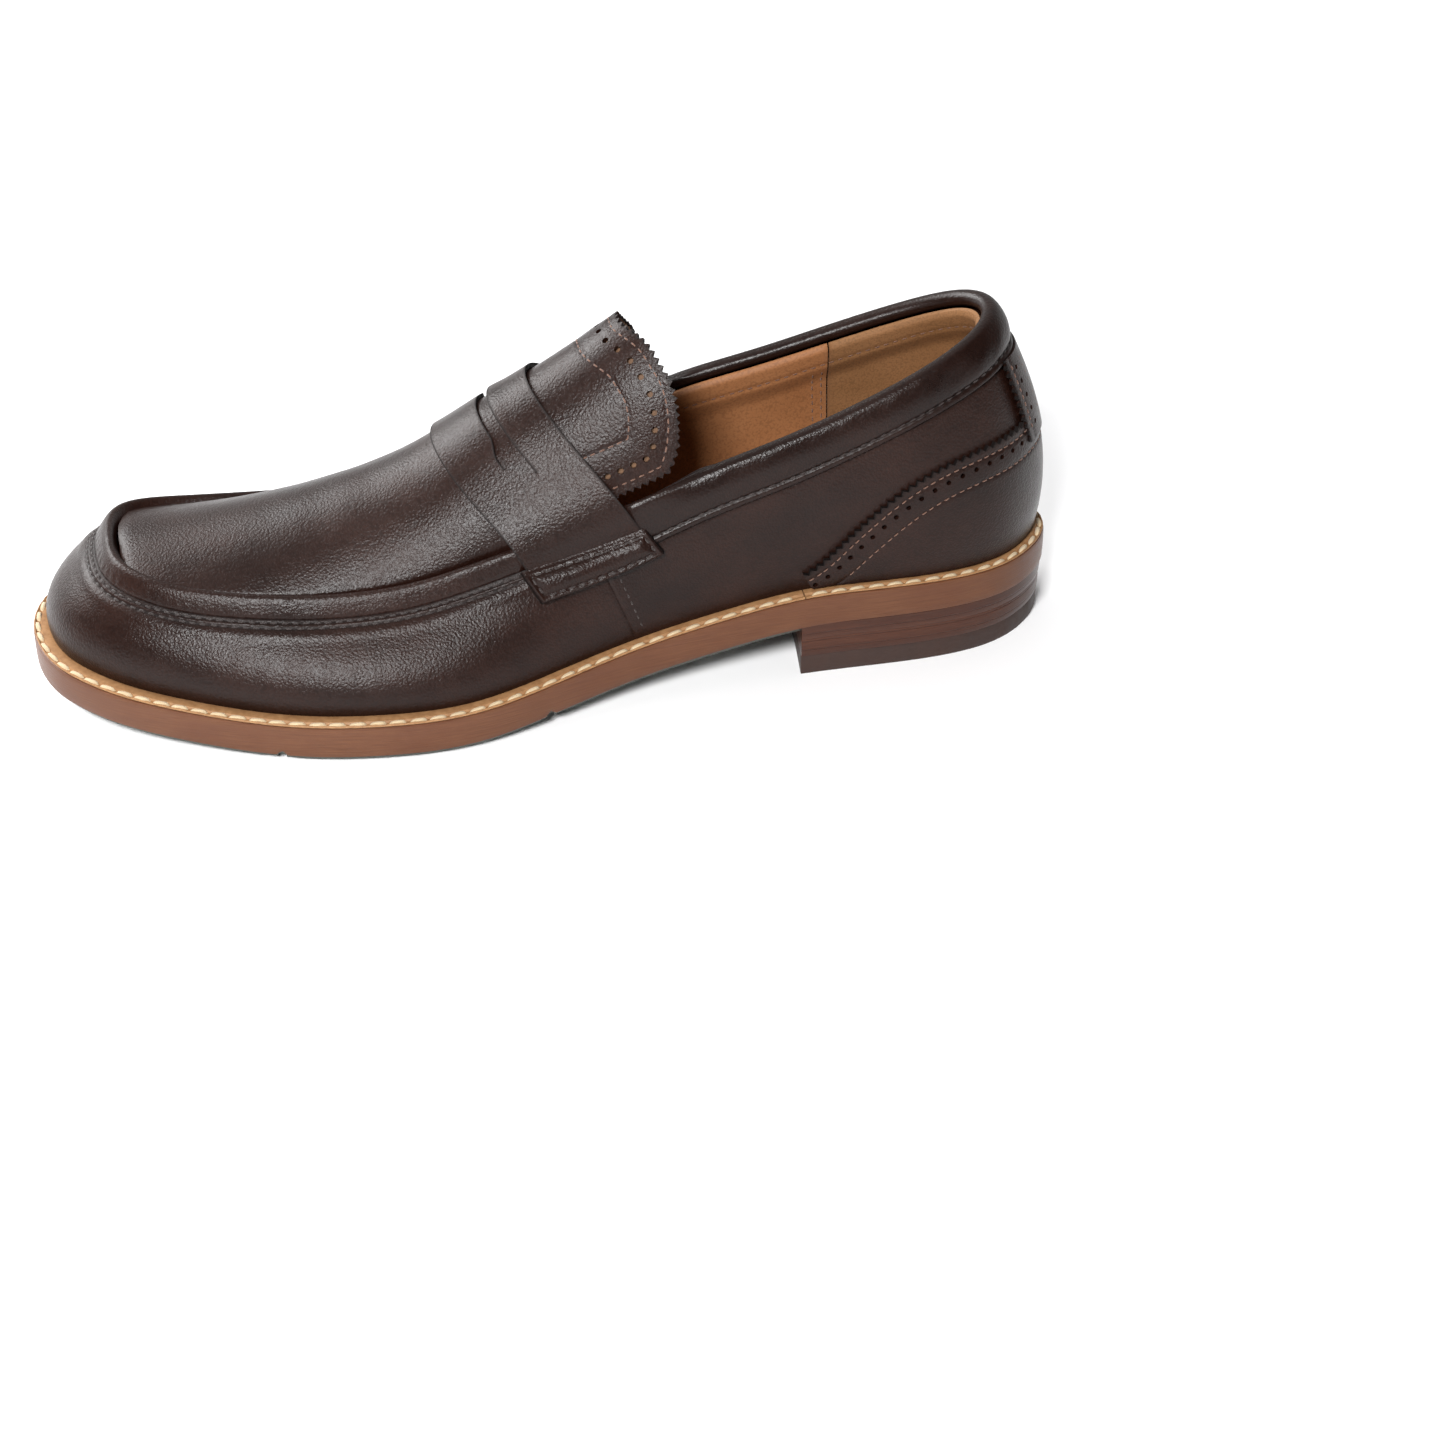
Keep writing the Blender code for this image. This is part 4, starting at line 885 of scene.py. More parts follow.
def build_ridge():
    """Raised seam round the apron: the vamp's leather folded over a cord and stitched down outside."""
    t = np.linspace(station_of(152.0, 1, 2) - FULL, station_of(152.0, -1, 2), 420)
    prof = [(0.0, -1.0), (-0.1, 0.1), (-0.05, 1.0), (0.25, 1.75), (0.75, 2.2), (1.4, 2.38), (2.1, 2.3), (3.0, 2.02),
            (4.0, 1.6), (5.0, 1.12), (5.8, 0.72), (6.4, 0.35), (6.8, -0.1), (6.9, -0.5), (5.9, -1.2), (3.0, -1.35)]
    mid = off_wall(t, 3.0 + 0 * t, 1.0)
    run = travel(mid)
    ripple = 0.10 * np.sin(2 * math.pi * run / 3.0) + 0.05 * np.sin(run * 0.37)
    ends = smooth01((t - t[0]) / 0.5) * smooth01((t[-1] - t) / 0.5)
    rings = []
    for d, n in prof:
        side = smooth01((d - 3.5) / 2.5) * (n > -0.6)
        rings.append(off_wall(t, d + 0 * t, n * (0.75 + 0.25 * ends) + ripple * side))
    loop_body("apron_ridge_leather", np.stack(rings, 1), UPPER, "upper_leather", replaces=["apron_ridge"])
    t = np.linspace(station_of(141.0, 1, 2) - FULL, station_of(141.0, -1, 2), 500)
    for k, d in enumerate((ROW_A, ROW_B)):
        line = wall_line(t, h_below(t, d + 0 * t), -0.02)
        stitches("apron_stitches_%d" % (k + 1), [line], DARK, "dark_thread", 3.0, 2.3, 0.3,
                 replaces=["apron_thread_%d" % (k + 1)])


# ---- saddle strap -----------------------------------------------------------
SLOT_AT, SLOT_END, SLOT_TURN = 0.605, 0.445, 0.372


def band_point(q, d, side, n):
    """Side wall point d below the top edge on the slanted plane q."""
    t = wall_at(q, 0.8 + 0 * q, side)
    for _ in range(3):
        t = wall_at(q, h_below(t, d + 0 * q), side)
    return off_wall(t, d + 0 * q, n)


def band_row(shape, count, drop=16.6):
    """Points across the instep for one strap line; shape 0 is the front edge, 1 the rear edge."""
    def q(u):
        return STRAP_FRONT + STRAP_WIDTH * shape + 5 * u * u
    ctrl = [band_point(np.array(q(1.0)), d, -1, n) for d, n in ((drop, 0.45), (12.0, 0.5), (8.0, 0.9), (3.2, 2.75))]
    for u in (-0.78, -0.5, -0.2, 0.2, 0.5, 0.78):
        n = 0.75 if abs(u) > 0.7 else 0.45
        ctrl.append(instep(instep_at(q(u), u), u, n))
    ctrl += [band_point(np.array(q(1.0)), d, 1, n) for d, n in ((3.2, 2.75), (8.0, 0.9), (12.0, 0.5), (drop, 0.45))]
    ctrl = np.array(ctrl)
    c = travel(ctrl)
    tab = [spline_table(list(zip(c, ctrl[:, k]))) for k in range(3)]
    g = np.linspace(0, c[-1], 500)
    return resample(np.stack([along(a, g) for a in tab], -1), count=count)[0]


def slot_gap(v):
    """Width of the slot as a share of the strap: even in the middle, wider where its lips turn forward."""
    a = np.abs(v)
    open_mm = 4.0 + 2.4 * smooth01((a - 0.2) / 0.13)
    open_mm = np.where(a > SLOT_TURN, open_mm * np.clip((SLOT_END - a) / (SLOT_END - SLOT_TURN), 0, 1), open_mm)
    return np.maximum(open_mm, 0.35) / STRAP_WIDTH


def build_strap():
    count = 281
    where = np.linspace(-0.05, 1.05, 12)
    lines = np.array([band_row(f, count) for f in where])
    tab = [[spline_table(list(zip(where, lines[:, j, k]))) for k in range(3)] for j in range(count)]
    v = np.linspace(-1, 1, count)
    front = np.concatenate([[0, 0.015, 0.04], np.linspace(0.09, 0.91, 12), [0.96, 0.985, 1]])
    rear = np.concatenate([[0, 0.025, 0.07], np.linspace(0.15, 0.85, 8), [0.93, 0.975, 1]])
    split = SLOT_AT - slot_gap(v)
    marks = np.concatenate([split * front[:, None], SLOT_AT + (1.0 - SLOT_AT + 0 * v) * rear[:, None]])
    under = np.clip(marks, 0.016, 0.984)
    under[len(front) - 1] -= 0.016
    under[len(front)] += 0.016
    pts, low = np.zeros((len(marks), count, 3)), np.zeros((len(marks), count, 3))
    for j in range(count):
        for k in range(3):
            pts[:, j, k] = along(tab[j][k], marks[:, j])
            low[:, j, k] = along(tab[j][k], under[:, j])
    du, dv = np.gradient(pts, axis=1), np.gradient(pts, axis=0)
    nn = unit(np.cross(du, dv))
    nn *= np.where(nn[..., 2].mean() < 0, -1.0, 1.0)
    flat = np.abs(v) < 0.5
    sag = -0.4 * dent(marks - SLOT_AT, 0.09) * (marks < SLOT_AT) * flat * np.clip(1 - (v / 0.46) ** 2, 0, 1)
    lip = 0.5 * dent(marks - SLOT_AT, 0.12) * (marks >= SLOT_AT) * np.clip(1 - (v / 0.5) ** 2, 0, 1)
    front_lift = 0.12 * dent(marks, 0.10) * np.clip(1 - (v / 0.62) ** 2, 0, 1)
    bulge = sag + lip + front_lift
    keep = np.ones((len(marks) - 1, count - 1), bool)
    mid = 0.5 * (np.abs(v[1:]) + np.abs(v[:-1]))
    keep[len(front) - 1, mid < SLOT_END] = False
    # The front and rear cut edges and both lips of the slot are darkened: partly edge dye, partly painted shade of the
    # gaps under them.
    edge = np.maximum(dent(marks, 0.012), dent(marks - 1, 0.012))
    edge = np.maximum(edge, dent(marks - SLOT_AT, 0.012) * (np.abs(v) < SLOT_END))
    edge = np.maximum(edge, dent(marks - split, 0.012) * (np.abs(v) < SLOT_TURN))
    shell("saddle_strap_leather", pts + nn * (1.15 + bulge)[..., None], low + nn * (bulge - 0.15)[..., None], UPPER,
          "upper_leather", keep=keep, bevel=0.2, attr=edge, replaces=["saddle_strap"])


def build_strap_ends():
    """Padded tabs that hold the strap down, stitched all round."""
    for side, word in ((-1, "lateral"), (1, "medial")):
        ds, qs = np.linspace(7.2, 17.3, 34), np.linspace(141.6, 177.2, 76)
        dd, qq = np.meshgrid(ds, qs)
        x = np.minimum(dd - ds[0], ds[-1] - dd)
        y = np.minimum(qq - qs[0], qs[-1] - qq)
        low = ds[-1] - dd
        rim = np.minimum(low, y)
        roll = np.sqrt(np.clip(1 - (1 - np.clip(rim / 1.0, 0, 1)) ** 2, 0, 1))
        inset = np.minimum(x, y)
        puff = 0.85 * smooth01((inset - 1.9) / 2.6)
        seat = -0.55 * dent(inset - 1.9, 0.5) * (0.75 + 0.25 * np.cos(2 * math.pi * (dd + qq) / 2.9))
        fold = 0.22 * np.sin(qq * 0.36 + dd * 0.2) * smooth01((inset - 2.5) / 2.0)
        n = 0.9 + (2.15 + 0.45 * smooth01((dd - ds[0]) / 2.0)) * roll + puff + seat + fold * 0.6
        n = np.where(dd < 9.5, n - 0.75 * (1 - smooth01((dd - 7.2) / 2.3)), n)
        out = band_point(qq, dd, side, n)
        back = band_point(qq, dd, side, 0.2 + 0 * n)
        shell("strap_tab_" + word, out, back, UPPER, "upper_leather", attr=dent(rim, 0.5),
              replaces=["strap_end_" + word])
        c = 1.9
        d0, d1, q0, q1 = ds[0] + c, ds[-1] - c, qs[0] + c, qs[-1] - c
        k = np.linspace(0, 1, 60)
        tracks = [(d0 + 0 * k, q0 + (q1 - q0) * k), (d0 + (d1 - d0) * k, q1 + 0 * k), (d1 + 0 * k, q1 + (q0 - q1) * k),
                  (d1 + (d0 - d1) * k, q0 + 0 * k)]
        lines = []
        for d, q in tracks:
            top = 2.85 + 0.45 * smooth01((d - ds[0]) / 2.0) - 0.75 * (1 - smooth01((d - 7.2) / 2.3)) * (d < 9.5)
            p = band_point(q, d, side, top)
            lines.append((p, band_point(q, d, side, top + 1.0) - p))
        stitches("strap_tab_stitches_" + word, lines, DARK, "dark_thread", 2.9, 2.2, 0.3)


# ---- tongue -----------------------------------------------------------------
def tongue_end(u):
    """Rear edge of the tongue; its lateral half reaches a little further back."""
    a = np.abs(u)
    q = 201.5 + 4.5 * np.sin(np.clip(-u / 0.5, 0, 1) * math.pi / 2) ** 2 - 1.5 * smooth01(u / 0.6)
    return q - 22 * (1 - np.sqrt(np.clip(1 - (np.clip(a - 0.62, 0, 1) / 0.37) ** 2, 0, 1)))


def tongue_line(u, q):
    return instep(instep_at(q, u), u)


def span_mm(u, q):
    """Millimetres across the tongue for one step of u."""
    a, b = np.clip(u - 0.004, -1, 1), np.clip(u + 0.004, -1, 1)
    return np.linalg.norm(tongue_line(b, q) - tongue_line(a, q), axis=-1) / (b - a)


def even(u, q, count):
    """Points of a tongue edge at even spacing, as (u, q)."""
    return respaced(tongue_line(u, q), u, q, count=count)[1:]


TONGUE_SIDE, TONGUE_CORNER = 0.972, 0.9


def tongue_edges():
    """Rear edge and the two side edges of the tongue as (u, q), four points to a tooth."""
    u = np.linspace(-TONGUE_CORNER, TONGUE_CORNER, 900)
    p = tongue_line(u, tongue_end(u))
    n = int(np.linalg.norm(np.diff(p, axis=0), axis=1).sum() / 2.3) * 4 + 1
    rear = even(u, tongue_end(u), n)
    w = TONGUE_CORNER + (TONGUE_SIDE - TONGUE_CORNER) * np.linspace(1, 0, 200) ** 2
    us = np.concatenate([np.full(120, TONGUE_SIDE), w])
    sides = []
    for sgn in (-1, 1):
        end = tongue_end(sgn * w)
        qs = np.concatenate([np.linspace(170.6, end[0] - 0.2, 120), end])
        p = tongue_line(sgn * us, qs)
        m = int(np.linalg.norm(np.diff(p, axis=0), axis=1).sum() / 2.3) * 4 + 1 if sgn < 0 else m
        sides.append(even(sgn * us, qs, m))
    return rear, sides[0], sides[1]


def tongue_grid():
    """Sheet of (u, q) points spanned between the front line and the three pinked edges, and its even rim."""
    rear, left, right = tongue_edges()
    rim_u = np.concatenate([left[0], rear[0][1:-1], right[0][::-1]])
    rim_q = np.concatenate([left[1], rear[1][1:-1], right[1][::-1]])
    tooth = np.array([0.0, 1.0, 0.0, -1.0]) * 0.62
    n, m = len(rear[0]), len(left[0])
    zr, zs = tooth[np.arange(n) % 4], tooth[np.arange(m) % 4]
    zr[0] = zr[-1] = zs[-1] = 0.0
    mm = span_mm(*rear)
    tan_u, tan_q = np.gradient(rear[0]) * mm, np.gradient(rear[1])
    size = np.hypot(tan_u, tan_q)
    rear = (rear[0] - tan_q / size * zr / mm, rear[1] + tan_u / size * zr)
    sides = []
    for (u, q), sgn in ((left, -1.0), (right, 1.0)):
        mm = span_mm(u, q)
        tan_u, tan_q = np.gradient(u) * mm, np.gradient(q)
        size = np.hypot(tan_u, tan_q)
        sides.append((u + sgn * tan_q / size * zs / mm, q - sgn * tan_u / size * zs))
    front_u = np.linspace(left[0][0], right[0][0], n)
    front_q = TONGUE_FRONT + 4.8 * (front_u / TONGUE_SIDE) ** 2
    i, j = np.linspace(0, 1, m)[:, None], np.linspace(0, 1, n)[None, :]
    grid = []
    for k, front in ((0, front_u), (1, front_q)):
        a, b, c, d = sides[0][k][:, None], sides[1][k][:, None], front[None, :], rear[k][None, :]
        grid.append(a * (1 - j) + b * j + c * (1 - i) + d * i - (front[0] * (1 - i) * (1 - j) + front[-1] * (1 - i) * j
                    + rear[k][0] * i * (1 - j) + rear[k][-1] * i * j))
    rim, _ = resample(tongue_line(rim_u, rim_q), 0.4)
    return grid[0], grid[1], rim


def rim_contour(rim, dist):
    """Line on the tongue at a given distance inside its free edge, from side to side."""
    ang = np.radians(np.linspace(-110, 110, 420))

    def at(r):
        u, q = np.clip(np.sin(ang) * r / 31.0, -0.97, 0.97), 177.0 + np.cos(ang) * r
        return tongue_line(u, q), u, q

    lo, hi = np.zeros(420), np.full(420, 45.0)
    for _ in range(16):
        m = 0.5 * (lo + hi)
        p, u, q = at(m)
        inside = (nearest(p, rim)[0] > dist) & (q < tongue_end(u)) & (np.abs(np.sin(ang) * m / 31.0) < 0.965)
        lo, hi = np.where(inside, m, lo), np.where(inside, hi, m)
    p, u, q = at(0.5 * (lo + hi))
    ok = q > 169.0
    return p[ok], u[ok], q[ok]


def tongue_curl(u, q):
    return 0.3 * smooth01((q - 190) / 14) * np.sin(u * 5.0 + 0.6)


def bend(ob):
    """Bakes the object's transform; the tongue's front stays under the strap, and the hinge points at q 168 and 183 are
    worked out, but nothing turns about them.
    """
    hinge_at(168.0)
    hinge_at(183.0)
    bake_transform(ob)


def hinge_at(q):
    p = instep_point(float(instep_at(q, 0.0)), 0.0)
    return tuple(float(v) for v in world(p))


def build_tongue():
    u, q, rim = tongue_grid()
    s = instep_at(q, u)
    dist = nearest(instep(s, u), rim)[0]
    lift = -0.3 * dent(dist - 2.6, 0.5) - 0.32 * dent(dist - 13.6, 0.5) + 0.15 * dent(dist - 8, 3.0)
    c = tongue_curl(u, q)
    ob = shell("tongue_leather", instep(s, u, lift + c), instep(s, u, c - 1.25), UPPER, "upper_leather", body=None,
               attr=dent(dist, 0.4), replaces=["tongue"])
    p, uc, qc = rim_contour(rim, 6.4)
    _, uc, qc = respaced(p, uc, qc, 5.5)
    sc = instep_at(qc, uc)
    centre = instep(sc, uc)
    punch(ob, centre, instep(sc, uc, 1.0) - centre, 0.95, 1.9)
    bend(ob)
    k = 0.985
    ul, ql = u * k, TONGUE_FRONT + (q - TONGUE_FRONT) * 0.988
    sl = instep_at(ql, ul)
    c = tongue_curl(ul, ql)
    ob = shell("tongue_lining_leather", instep(sl, ul, c - 1.75), instep(sl, ul, c - 2.6), LINING_PAINTED_SHADE,
               "tan_lining_leather", body=None, attr=0 * ql, replaces=["tongue_lining"])
    bend(ob)
    for k, (dist, name) in enumerate(((2.6, "tongue_edge_stitches"), (13.6, "tongue_inner_stitches"))):
        p, uc, qc = rim_contour(rim, dist)
        line = instep_line(instep_at(qc, uc), uc, tongue_curl(uc, qc) - 0.12)
        ob = stitches(name, [line], BROWN, "dark_thread", 2.7, 2.1, 0.24, body=None,
                      replaces=["tongue_thread"] if k else [])
        bend(ob)


# ---- collar and heel --------------------------------------------------------
COLLAR = [  # kind, then (n, height) for the padded part and for the thin front end
    ("d", 0.2, 12.9, 0.2, 12.9), ("d", 0.75, 13.35, 0.7, 13.35), ("d", 1.35, 13.3, 1.25, 13.3),
    ("d", 1.55, 12.7, 1.45, 12.7), ("d", 1.45, 11.9, 1.35, 11.9), ("d", 1.0, 11.3, 0.95, 11.3),
    ("d", 1.5, 10.7, 1.35, 10.7), ("d", 2.15, 9.4, 1.8, 9.4), ("d", 2.55, 7.0, 2.2, 7.0),
    ("d", 2.55, 4.6, 2.6, 4.6), ("d", 2.2, 2.4, 3.0, 2.4), ("d", 1.7, 0.9, 3.2, 0.9),
    ("c", 1.0, 0.0, 3.2, -0.3), ("c", 0.1, 0.5, 3.0, 0.45), ("c", -0.9, 0.65, 2.6, 0.9),
    ("c", -1.9, 0.45, 2.1, 1.0), ("c", -2.8, -0.2, 1.5, 0.6), ("d", -3.3, 1.4, 0.9, 1.4),
    ("d", -3.2, 2.4, 0.6, 2.4)]


def crest_frame(t):
    """Top edge point, outward normal and upward tangent of the wall."""
    h = np.ones(np.shape(t))
    p = wall_point(t, h)
    nn = wall(t, h, 1.0) - wall(t, h, 0.0)
    return p, nn, unit(p - wall_point(t, h - 0.02))


def collar_param(t):
    """0 where the collar lies outside the edge at the front, 1 where it is padded."""
    return smooth01((wall_point(t, np.ones(np.shape(t)))[..., 0] - 177.0) / 16.0)


def collar_ends(h, q=173.4):
    return tuple(float(wall_at(np.array(q), np.array(h), side)) for side in (-1, 1))


def build_collar():
    n = 330
    out, back = np.zeros((n, len(COLLAR), 3)), np.zeros((n, len(COLLAR), 3))
    for k, (kind, n1, v1, n0, v0) in enumerate(COLLAR):
        hh = 1.0 if kind == "c" else 0.99 - 0.035 * min(v1, 13.0)
        a, b = collar_ends(hh)
        t = a + (b - a) * np.linspace(0, 1, n)
        c = collar_param(t)
        s = wall_point(t, np.ones(n))[:, 0]
        late = smooth01((s - 192.0) / 7.0) if k > 15 else c
        nn, vv = n0 + (n1 - n0) * c, v0 + (v1 - v0) * late
        base = wall_point(t, np.ones(n))
        nn = nn * (0.5 + 0.5 * smooth01((slant(base) - 173.5) / 4.0))
        run = travel(base)
        if kind == "d":
            if v1 > 10.0 and n1 > 0.5:
                nn = nn + 0.10 * np.cos(2 * math.pi * run / 3.1) * dent(v1 - 11.3, 0.9)
            if 2 < v1 < 10.5 and n1 > 0:
                nn = nn + (0.05 * np.sin(run * 0.31 + v1 * 0.3) + 0.04 * np.sin(run * 0.83 + v1)) * c
            out[:, k] = wall(t, h_below(t, vv), nn)
            back[:, k] = wall(t, h_below(t, vv * 0.985), nn - np.sign(n1) * np.where(c > 0.5, 0.7, 0.25))
        else:
            p, no, up = crest_frame(t)
            out[:, k] = p + no * nn[:, None] + up * vv[:, None]
            back[:, k] = out[:, k] - up * 0.7
    dense, deep = spline_rows(out, 60), spline_rows(back, 60)
    row = np.arange(60)[None, :] + np.zeros((n, 1))
    # Rows darkened at the lower edge (edge dye, with painted shade under it) and at the stitch groove (painted shade).
    darker = np.maximum(dent(row, 3.0), 0.7 * dent(row - 16.4, 1.6))
    ob = shell("collar_leather", dense, deep, EDGE, "upper_leather", attr=darker,
               replaces=["collar_binding", "collar_foam"])
    a, b = collar_ends(0.6, 177.5)
    t = np.linspace(a, b, 600)
    line = wall_line(t, h_below(t, 11.3 + 0 * t), 1.0)
    stitches("collar_stitches", [line], DARK, "dark_thread", 3.1, 2.3, 0.3, replaces=["collar_thread"])


def spline_rows(grid, count):
    """Smooth section curves through each row's points."""
    n, m = grid.shape[:2]
    y = grid.transpose(1, 0, 2).reshape(m, -1)
    mat = np.eye(m)
    rhs = np.zeros((m, y.shape[1]))
    for i in range(1, m - 1):
        mat[i, i - 1:i + 2] = 1, 4, 1
        rhs[i] = 6 * (y[i + 1] - 2 * y[i] + y[i - 1])
    sec = np.linalg.solve(mat, rhs)
    q = np.linspace(0, m - 1, count)
    i = np.clip(q.astype(int), 0, m - 2)
    a, b = (i + 1 - q)[:, None], (q - i)[:, None]
    out = a * y[i] + b * y[i + 1] + ((a ** 3 - a) * sec[i] + (b ** 3 - b) * sec[i + 1]) / 6
    return out.reshape(count, n, 3).transpose(1, 0, 2)


def counter_top(t):
    """Upper edge height of the heel cover."""
    s = col(t, 0)
    return np.interp(s, [221, 226, 230, 239, 250, 262, 275, 290], [31, 35, 39.5, 48.5, 57.5, 63.5, 66.5, 68])


def pinked(rim, inner, amp):
    """Every second point of the edge moved out, the others in, away from the next row inside."""
    sign = np.where(np.arange(len(rim)) % 2 == 0, amp, -amp)
    return rim + unit(rim - inner) * sign[:, None]


def build_heel_cover():
    ta, tb = station_of(221.6, -1), station_of(221.6, 1)
    t = np.linspace(ta, tb, 900)
    z = counter_top(t)
    z = np.convolve(np.pad(z, 30, mode="edge"), np.ones(61) / 61, "valid")
    h = h_at_z(t, z)
    p = wall_point(t, h)
    _, te, he = respaced(p, t, h, 1.25)
    sgn = -1.0
    a, b = inward(te, he, sgn * 3.0)
    if wall_point(a, b)[len(a) // 2, 2] > wall_point(te, he)[len(te) // 2, 2]:
        sgn = 1.0
    deep = [0, 0.9, 1.7, 2.1, 2.5, 2.9, 3.4, 4.2, 5.2, 6.2, 7.4, 8.5, 9.0, 9.4, 9.8, 10.4, 11.4]
    tt, hh = [], []
    for d in deep:
        a, b = inward(te, he, sgn * d)
        b = np.maximum(b, h_above(a, 0.2 + 0 * a))
        tt.append(a)
        hh.append(b)
    lo = h_above(tt[-1], 0.2 + 0 * tt[-1])
    for f in np.linspace(0, 1, 16)[1:]:
        tt.append(tt[-1])
        hh.append(hh[len(deep) - 1] * (1 - f) + lo * f)
    tt, hh = np.array(tt).T, np.array(hh).T
    dist = np.concatenate([deep, np.full(15, 14.0)])[None, :] + 0 * tt
    lift = 1.45 - 0.28 * dent(dist - 2.5, 0.5) - 0.28 * dent(dist - 9.4, 0.5) + 0.12 * dent(dist - 6, 2.2)
    out, back = wall(tt, hh, lift), wall(tt, hh, 0.25 + 0 * hh)
    out[:, 0] = pinked(out[:, 0], out[:, 1], 0.68)
    back[:, 0] = pinked(back[:, 0], back[:, 1], 0.68)
    ob = shell("heel_cover_leather", out, back, UPPER, "upper_leather", attr=dent(dist, 0.35),
               replaces=["heel_counter"])
    lines = {}
    for d in (2.5, 4.7, 9.4):
        a, b = inward(te, he, sgn * d)
        good = (wall_point(a, b)[:, 2] > root(wall_point(a, b)[:, 0]) + FOOT + 1.2)
        lines[d] = (a[good], b[good])
    a, b = lines[4.7]
    _, a, b = respaced(wall_point(a, b), a, b, 4.4)
    c = wall_point(a, b)
    nn = wall(a, b, 1.0) - c
    punch(ob, c + nn * 1.0, nn, 0.75, 0.9)
    rows = [wall_line(*lines[d], 1.36) for d in (2.5, 9.4)]
    stitches("heel_cover_stitches", rows, BROWN, "tan_thread", 2.5, 1.9, 0.2, replaces=["counter_thread"])


def build_backstay():
    """Strip up the back seam, pinked on both sides."""
    zs = np.linspace(61.5, 96.0, 61)
    cols = np.sin(np.linspace(-1, 1, 41) * math.pi / 2)
    width = 1.02 + 0.2 * (zs - 66) / 20
    out, back = [], []
    for i, (zz, w) in enumerate(zip(zs, width)):
        zigw = w + 0.048 * (0, 1, 0, -1)[i % 4]
        tt = HALF + cols * np.where(np.abs(cols) > 0.99, zigw, w)
        h = h_at_z(tt, zz + 0 * tt)
        lift = 2.1 - 0.2 * dent((1 - np.abs(cols)) * w * 13.5 - 2.4, 0.5)
        out.append(wall(tt, h, lift))
        back.append(wall(tt, h, 0 * tt + 1.0))
    out, back = np.array(out), np.array(back)
    top = h_below(np.array([HALF]), np.array([13.8]))
    zmax = wall_point(np.array([HALF]), top)[0, 2]
    ok = zs < zmax
    ob = shell("backstay_leather", out[ok], back[ok], UPPER, "upper_leather",
               attr=np.repeat(dent((1 - np.abs(cols)) * 13, 0.45)[None], ok.sum(), 0), replaces=["backstay"])
    zz = np.arange(66.0, zmax - 2.0, 4.4)
    w = 1.02 + 0.2 * (zz - 66) / 20 - 0.35
    tt = np.concatenate([HALF - w, HALF + w])
    h = h_at_z(tt, np.concatenate([zz, zz]))
    c = wall(tt, h, 1.6)
    punch(ob, c, wall(tt, h, 1.0) - wall(tt, h, 0.0), 0.75, 0.9)
    rows = []
    for sgn in (-1, 1):
        zz = np.linspace(64, zmax - 1.5, 60)
        for inset in (0.18, 0.7):
            tt = HALF + sgn * (1.02 + 0.2 * (zz - 66) / 20 - inset)
            rows.append(wall_line(tt, h_at_z(tt, zz), 2.02))
    stitches("backstay_stitches", rows, BROWN, "tan_thread", 2.5, 1.9, 0.2)


# ---- linings ----------------------------------------------------------------
def lining_body(name, t0, t1, n, look, replaces, d_top=2.3, padded=True, bottom=3.5):
    """Lining from inside the rim down to the sock, standing in over the collar's padding."""
    t = np.linspace(t0, t1, n)[:, None]
    d_all = arc(t[:, 0], np.ones(n))[:, None]
    f = np.concatenate([np.linspace(0, 0.32, 26), np.linspace(0.34, 1, 24)])[None, :]
    d = d_top + (d_all - bottom - d_top) * f
    tt = t + 0 * d
    c = collar_param(tt) if padded else 0 * tt
    pad = 2.0 * smooth01((d - 0.6) / 3.2) * (1 - smooth01((d - 8.0) / 9.0))
    n_in = -3.15 - pad * c + 0.3 * dent(d - 8.6, 0.7) * c
    h = h_below(tt, d)
    out, back = wall(tt, h, n_in), wall(tt, h, n_in - 1.0)
    e = np.maximum(dent((tt - t0) * 20, 0.7), dent((t1 - tt) * 20, 0.7))
    shell(name, out, back, look, "tan_lining_leather", attr=e, replaces=replaces)


def build_linings():
    a, b, bl, bm = (float(station_h(np.array(s), side, 0.6)) for s in (171.0, 238.0) for side in (-1, 1))
    lining_body("vamp_lining_leather", b - FULL, a, 240, LINING, ["vamp_lining"], d_top=4.5, padded=False)
    lining_body("quarter_lining_lateral_leather", a + 0.02, bl - 0.01, 90, LINING, ["quarter_lining_lateral"])
    lining_body("quarter_lining_medial_leather", bm + 0.01, b - 0.02, 90, LINING, ["quarter_lining_medial"])
    lining_body("heel_lining_leather", bl + 0.01, bm - 0.01, 170, GRIP, ["heel_grip_lining"])
    rows = []
    for t0, sgn in ((bl, -1), (bm, 1)):
        for off in (0.08, 0.2):
            d = np.linspace(11, 40, 120)
            t = t0 + sgn * off + 0 * d
            h = h_below(t, d)
            p = wall(t, h, -4.22 - 2.0 * (1 - smooth01((d - 8.0) / 9.0)))
            rows.append((p, wall_point(t, h) - wall(t, h, 1.0)))
    t = np.linspace(a + 0.9, b - 0.9, 800)
    h = h_below(t, 8.6 + 0 * t)
    rows.append((wall(t, h, -3.9 - 2.0 * collar_param(t)), wall_point(t, h) - wall(t, h, 1.0)))
    stitches("lining_stitches", rows, BROWN, "tan_thread", 2.8, 2.1, 0.2)


def slab_grid(name, le, ri, low, high, look, slot, across, **kw):
    """Flat-lying layer between matched edge points; low and high take (s, across)."""
    k = np.asarray(across)[None, :]
    x = le[:, None, 0] * (1 - k) + ri[:, None, 0] * k
    y = le[:, None, 1] * (1 - k) + ri[:, None, 1] * k
    kk = k + 0 * x
    top = np.stack([x, y, high(x, kk)], -1)
    bot = np.stack([x, y, low(x, kk)], -1)
    return shell(name, top, bot, look, slot, **kw)


def raised(p, z):
    """Plan points at z above the underside of the midsole."""
    return np.concatenate([p, (root(p[:, 0]) + z)[:, None]], -1)


def edge_rows(cut, tl, tm):
    return outline(tl, sole_off(tl, cut)), outline(tm, sole_off(tm, cut))


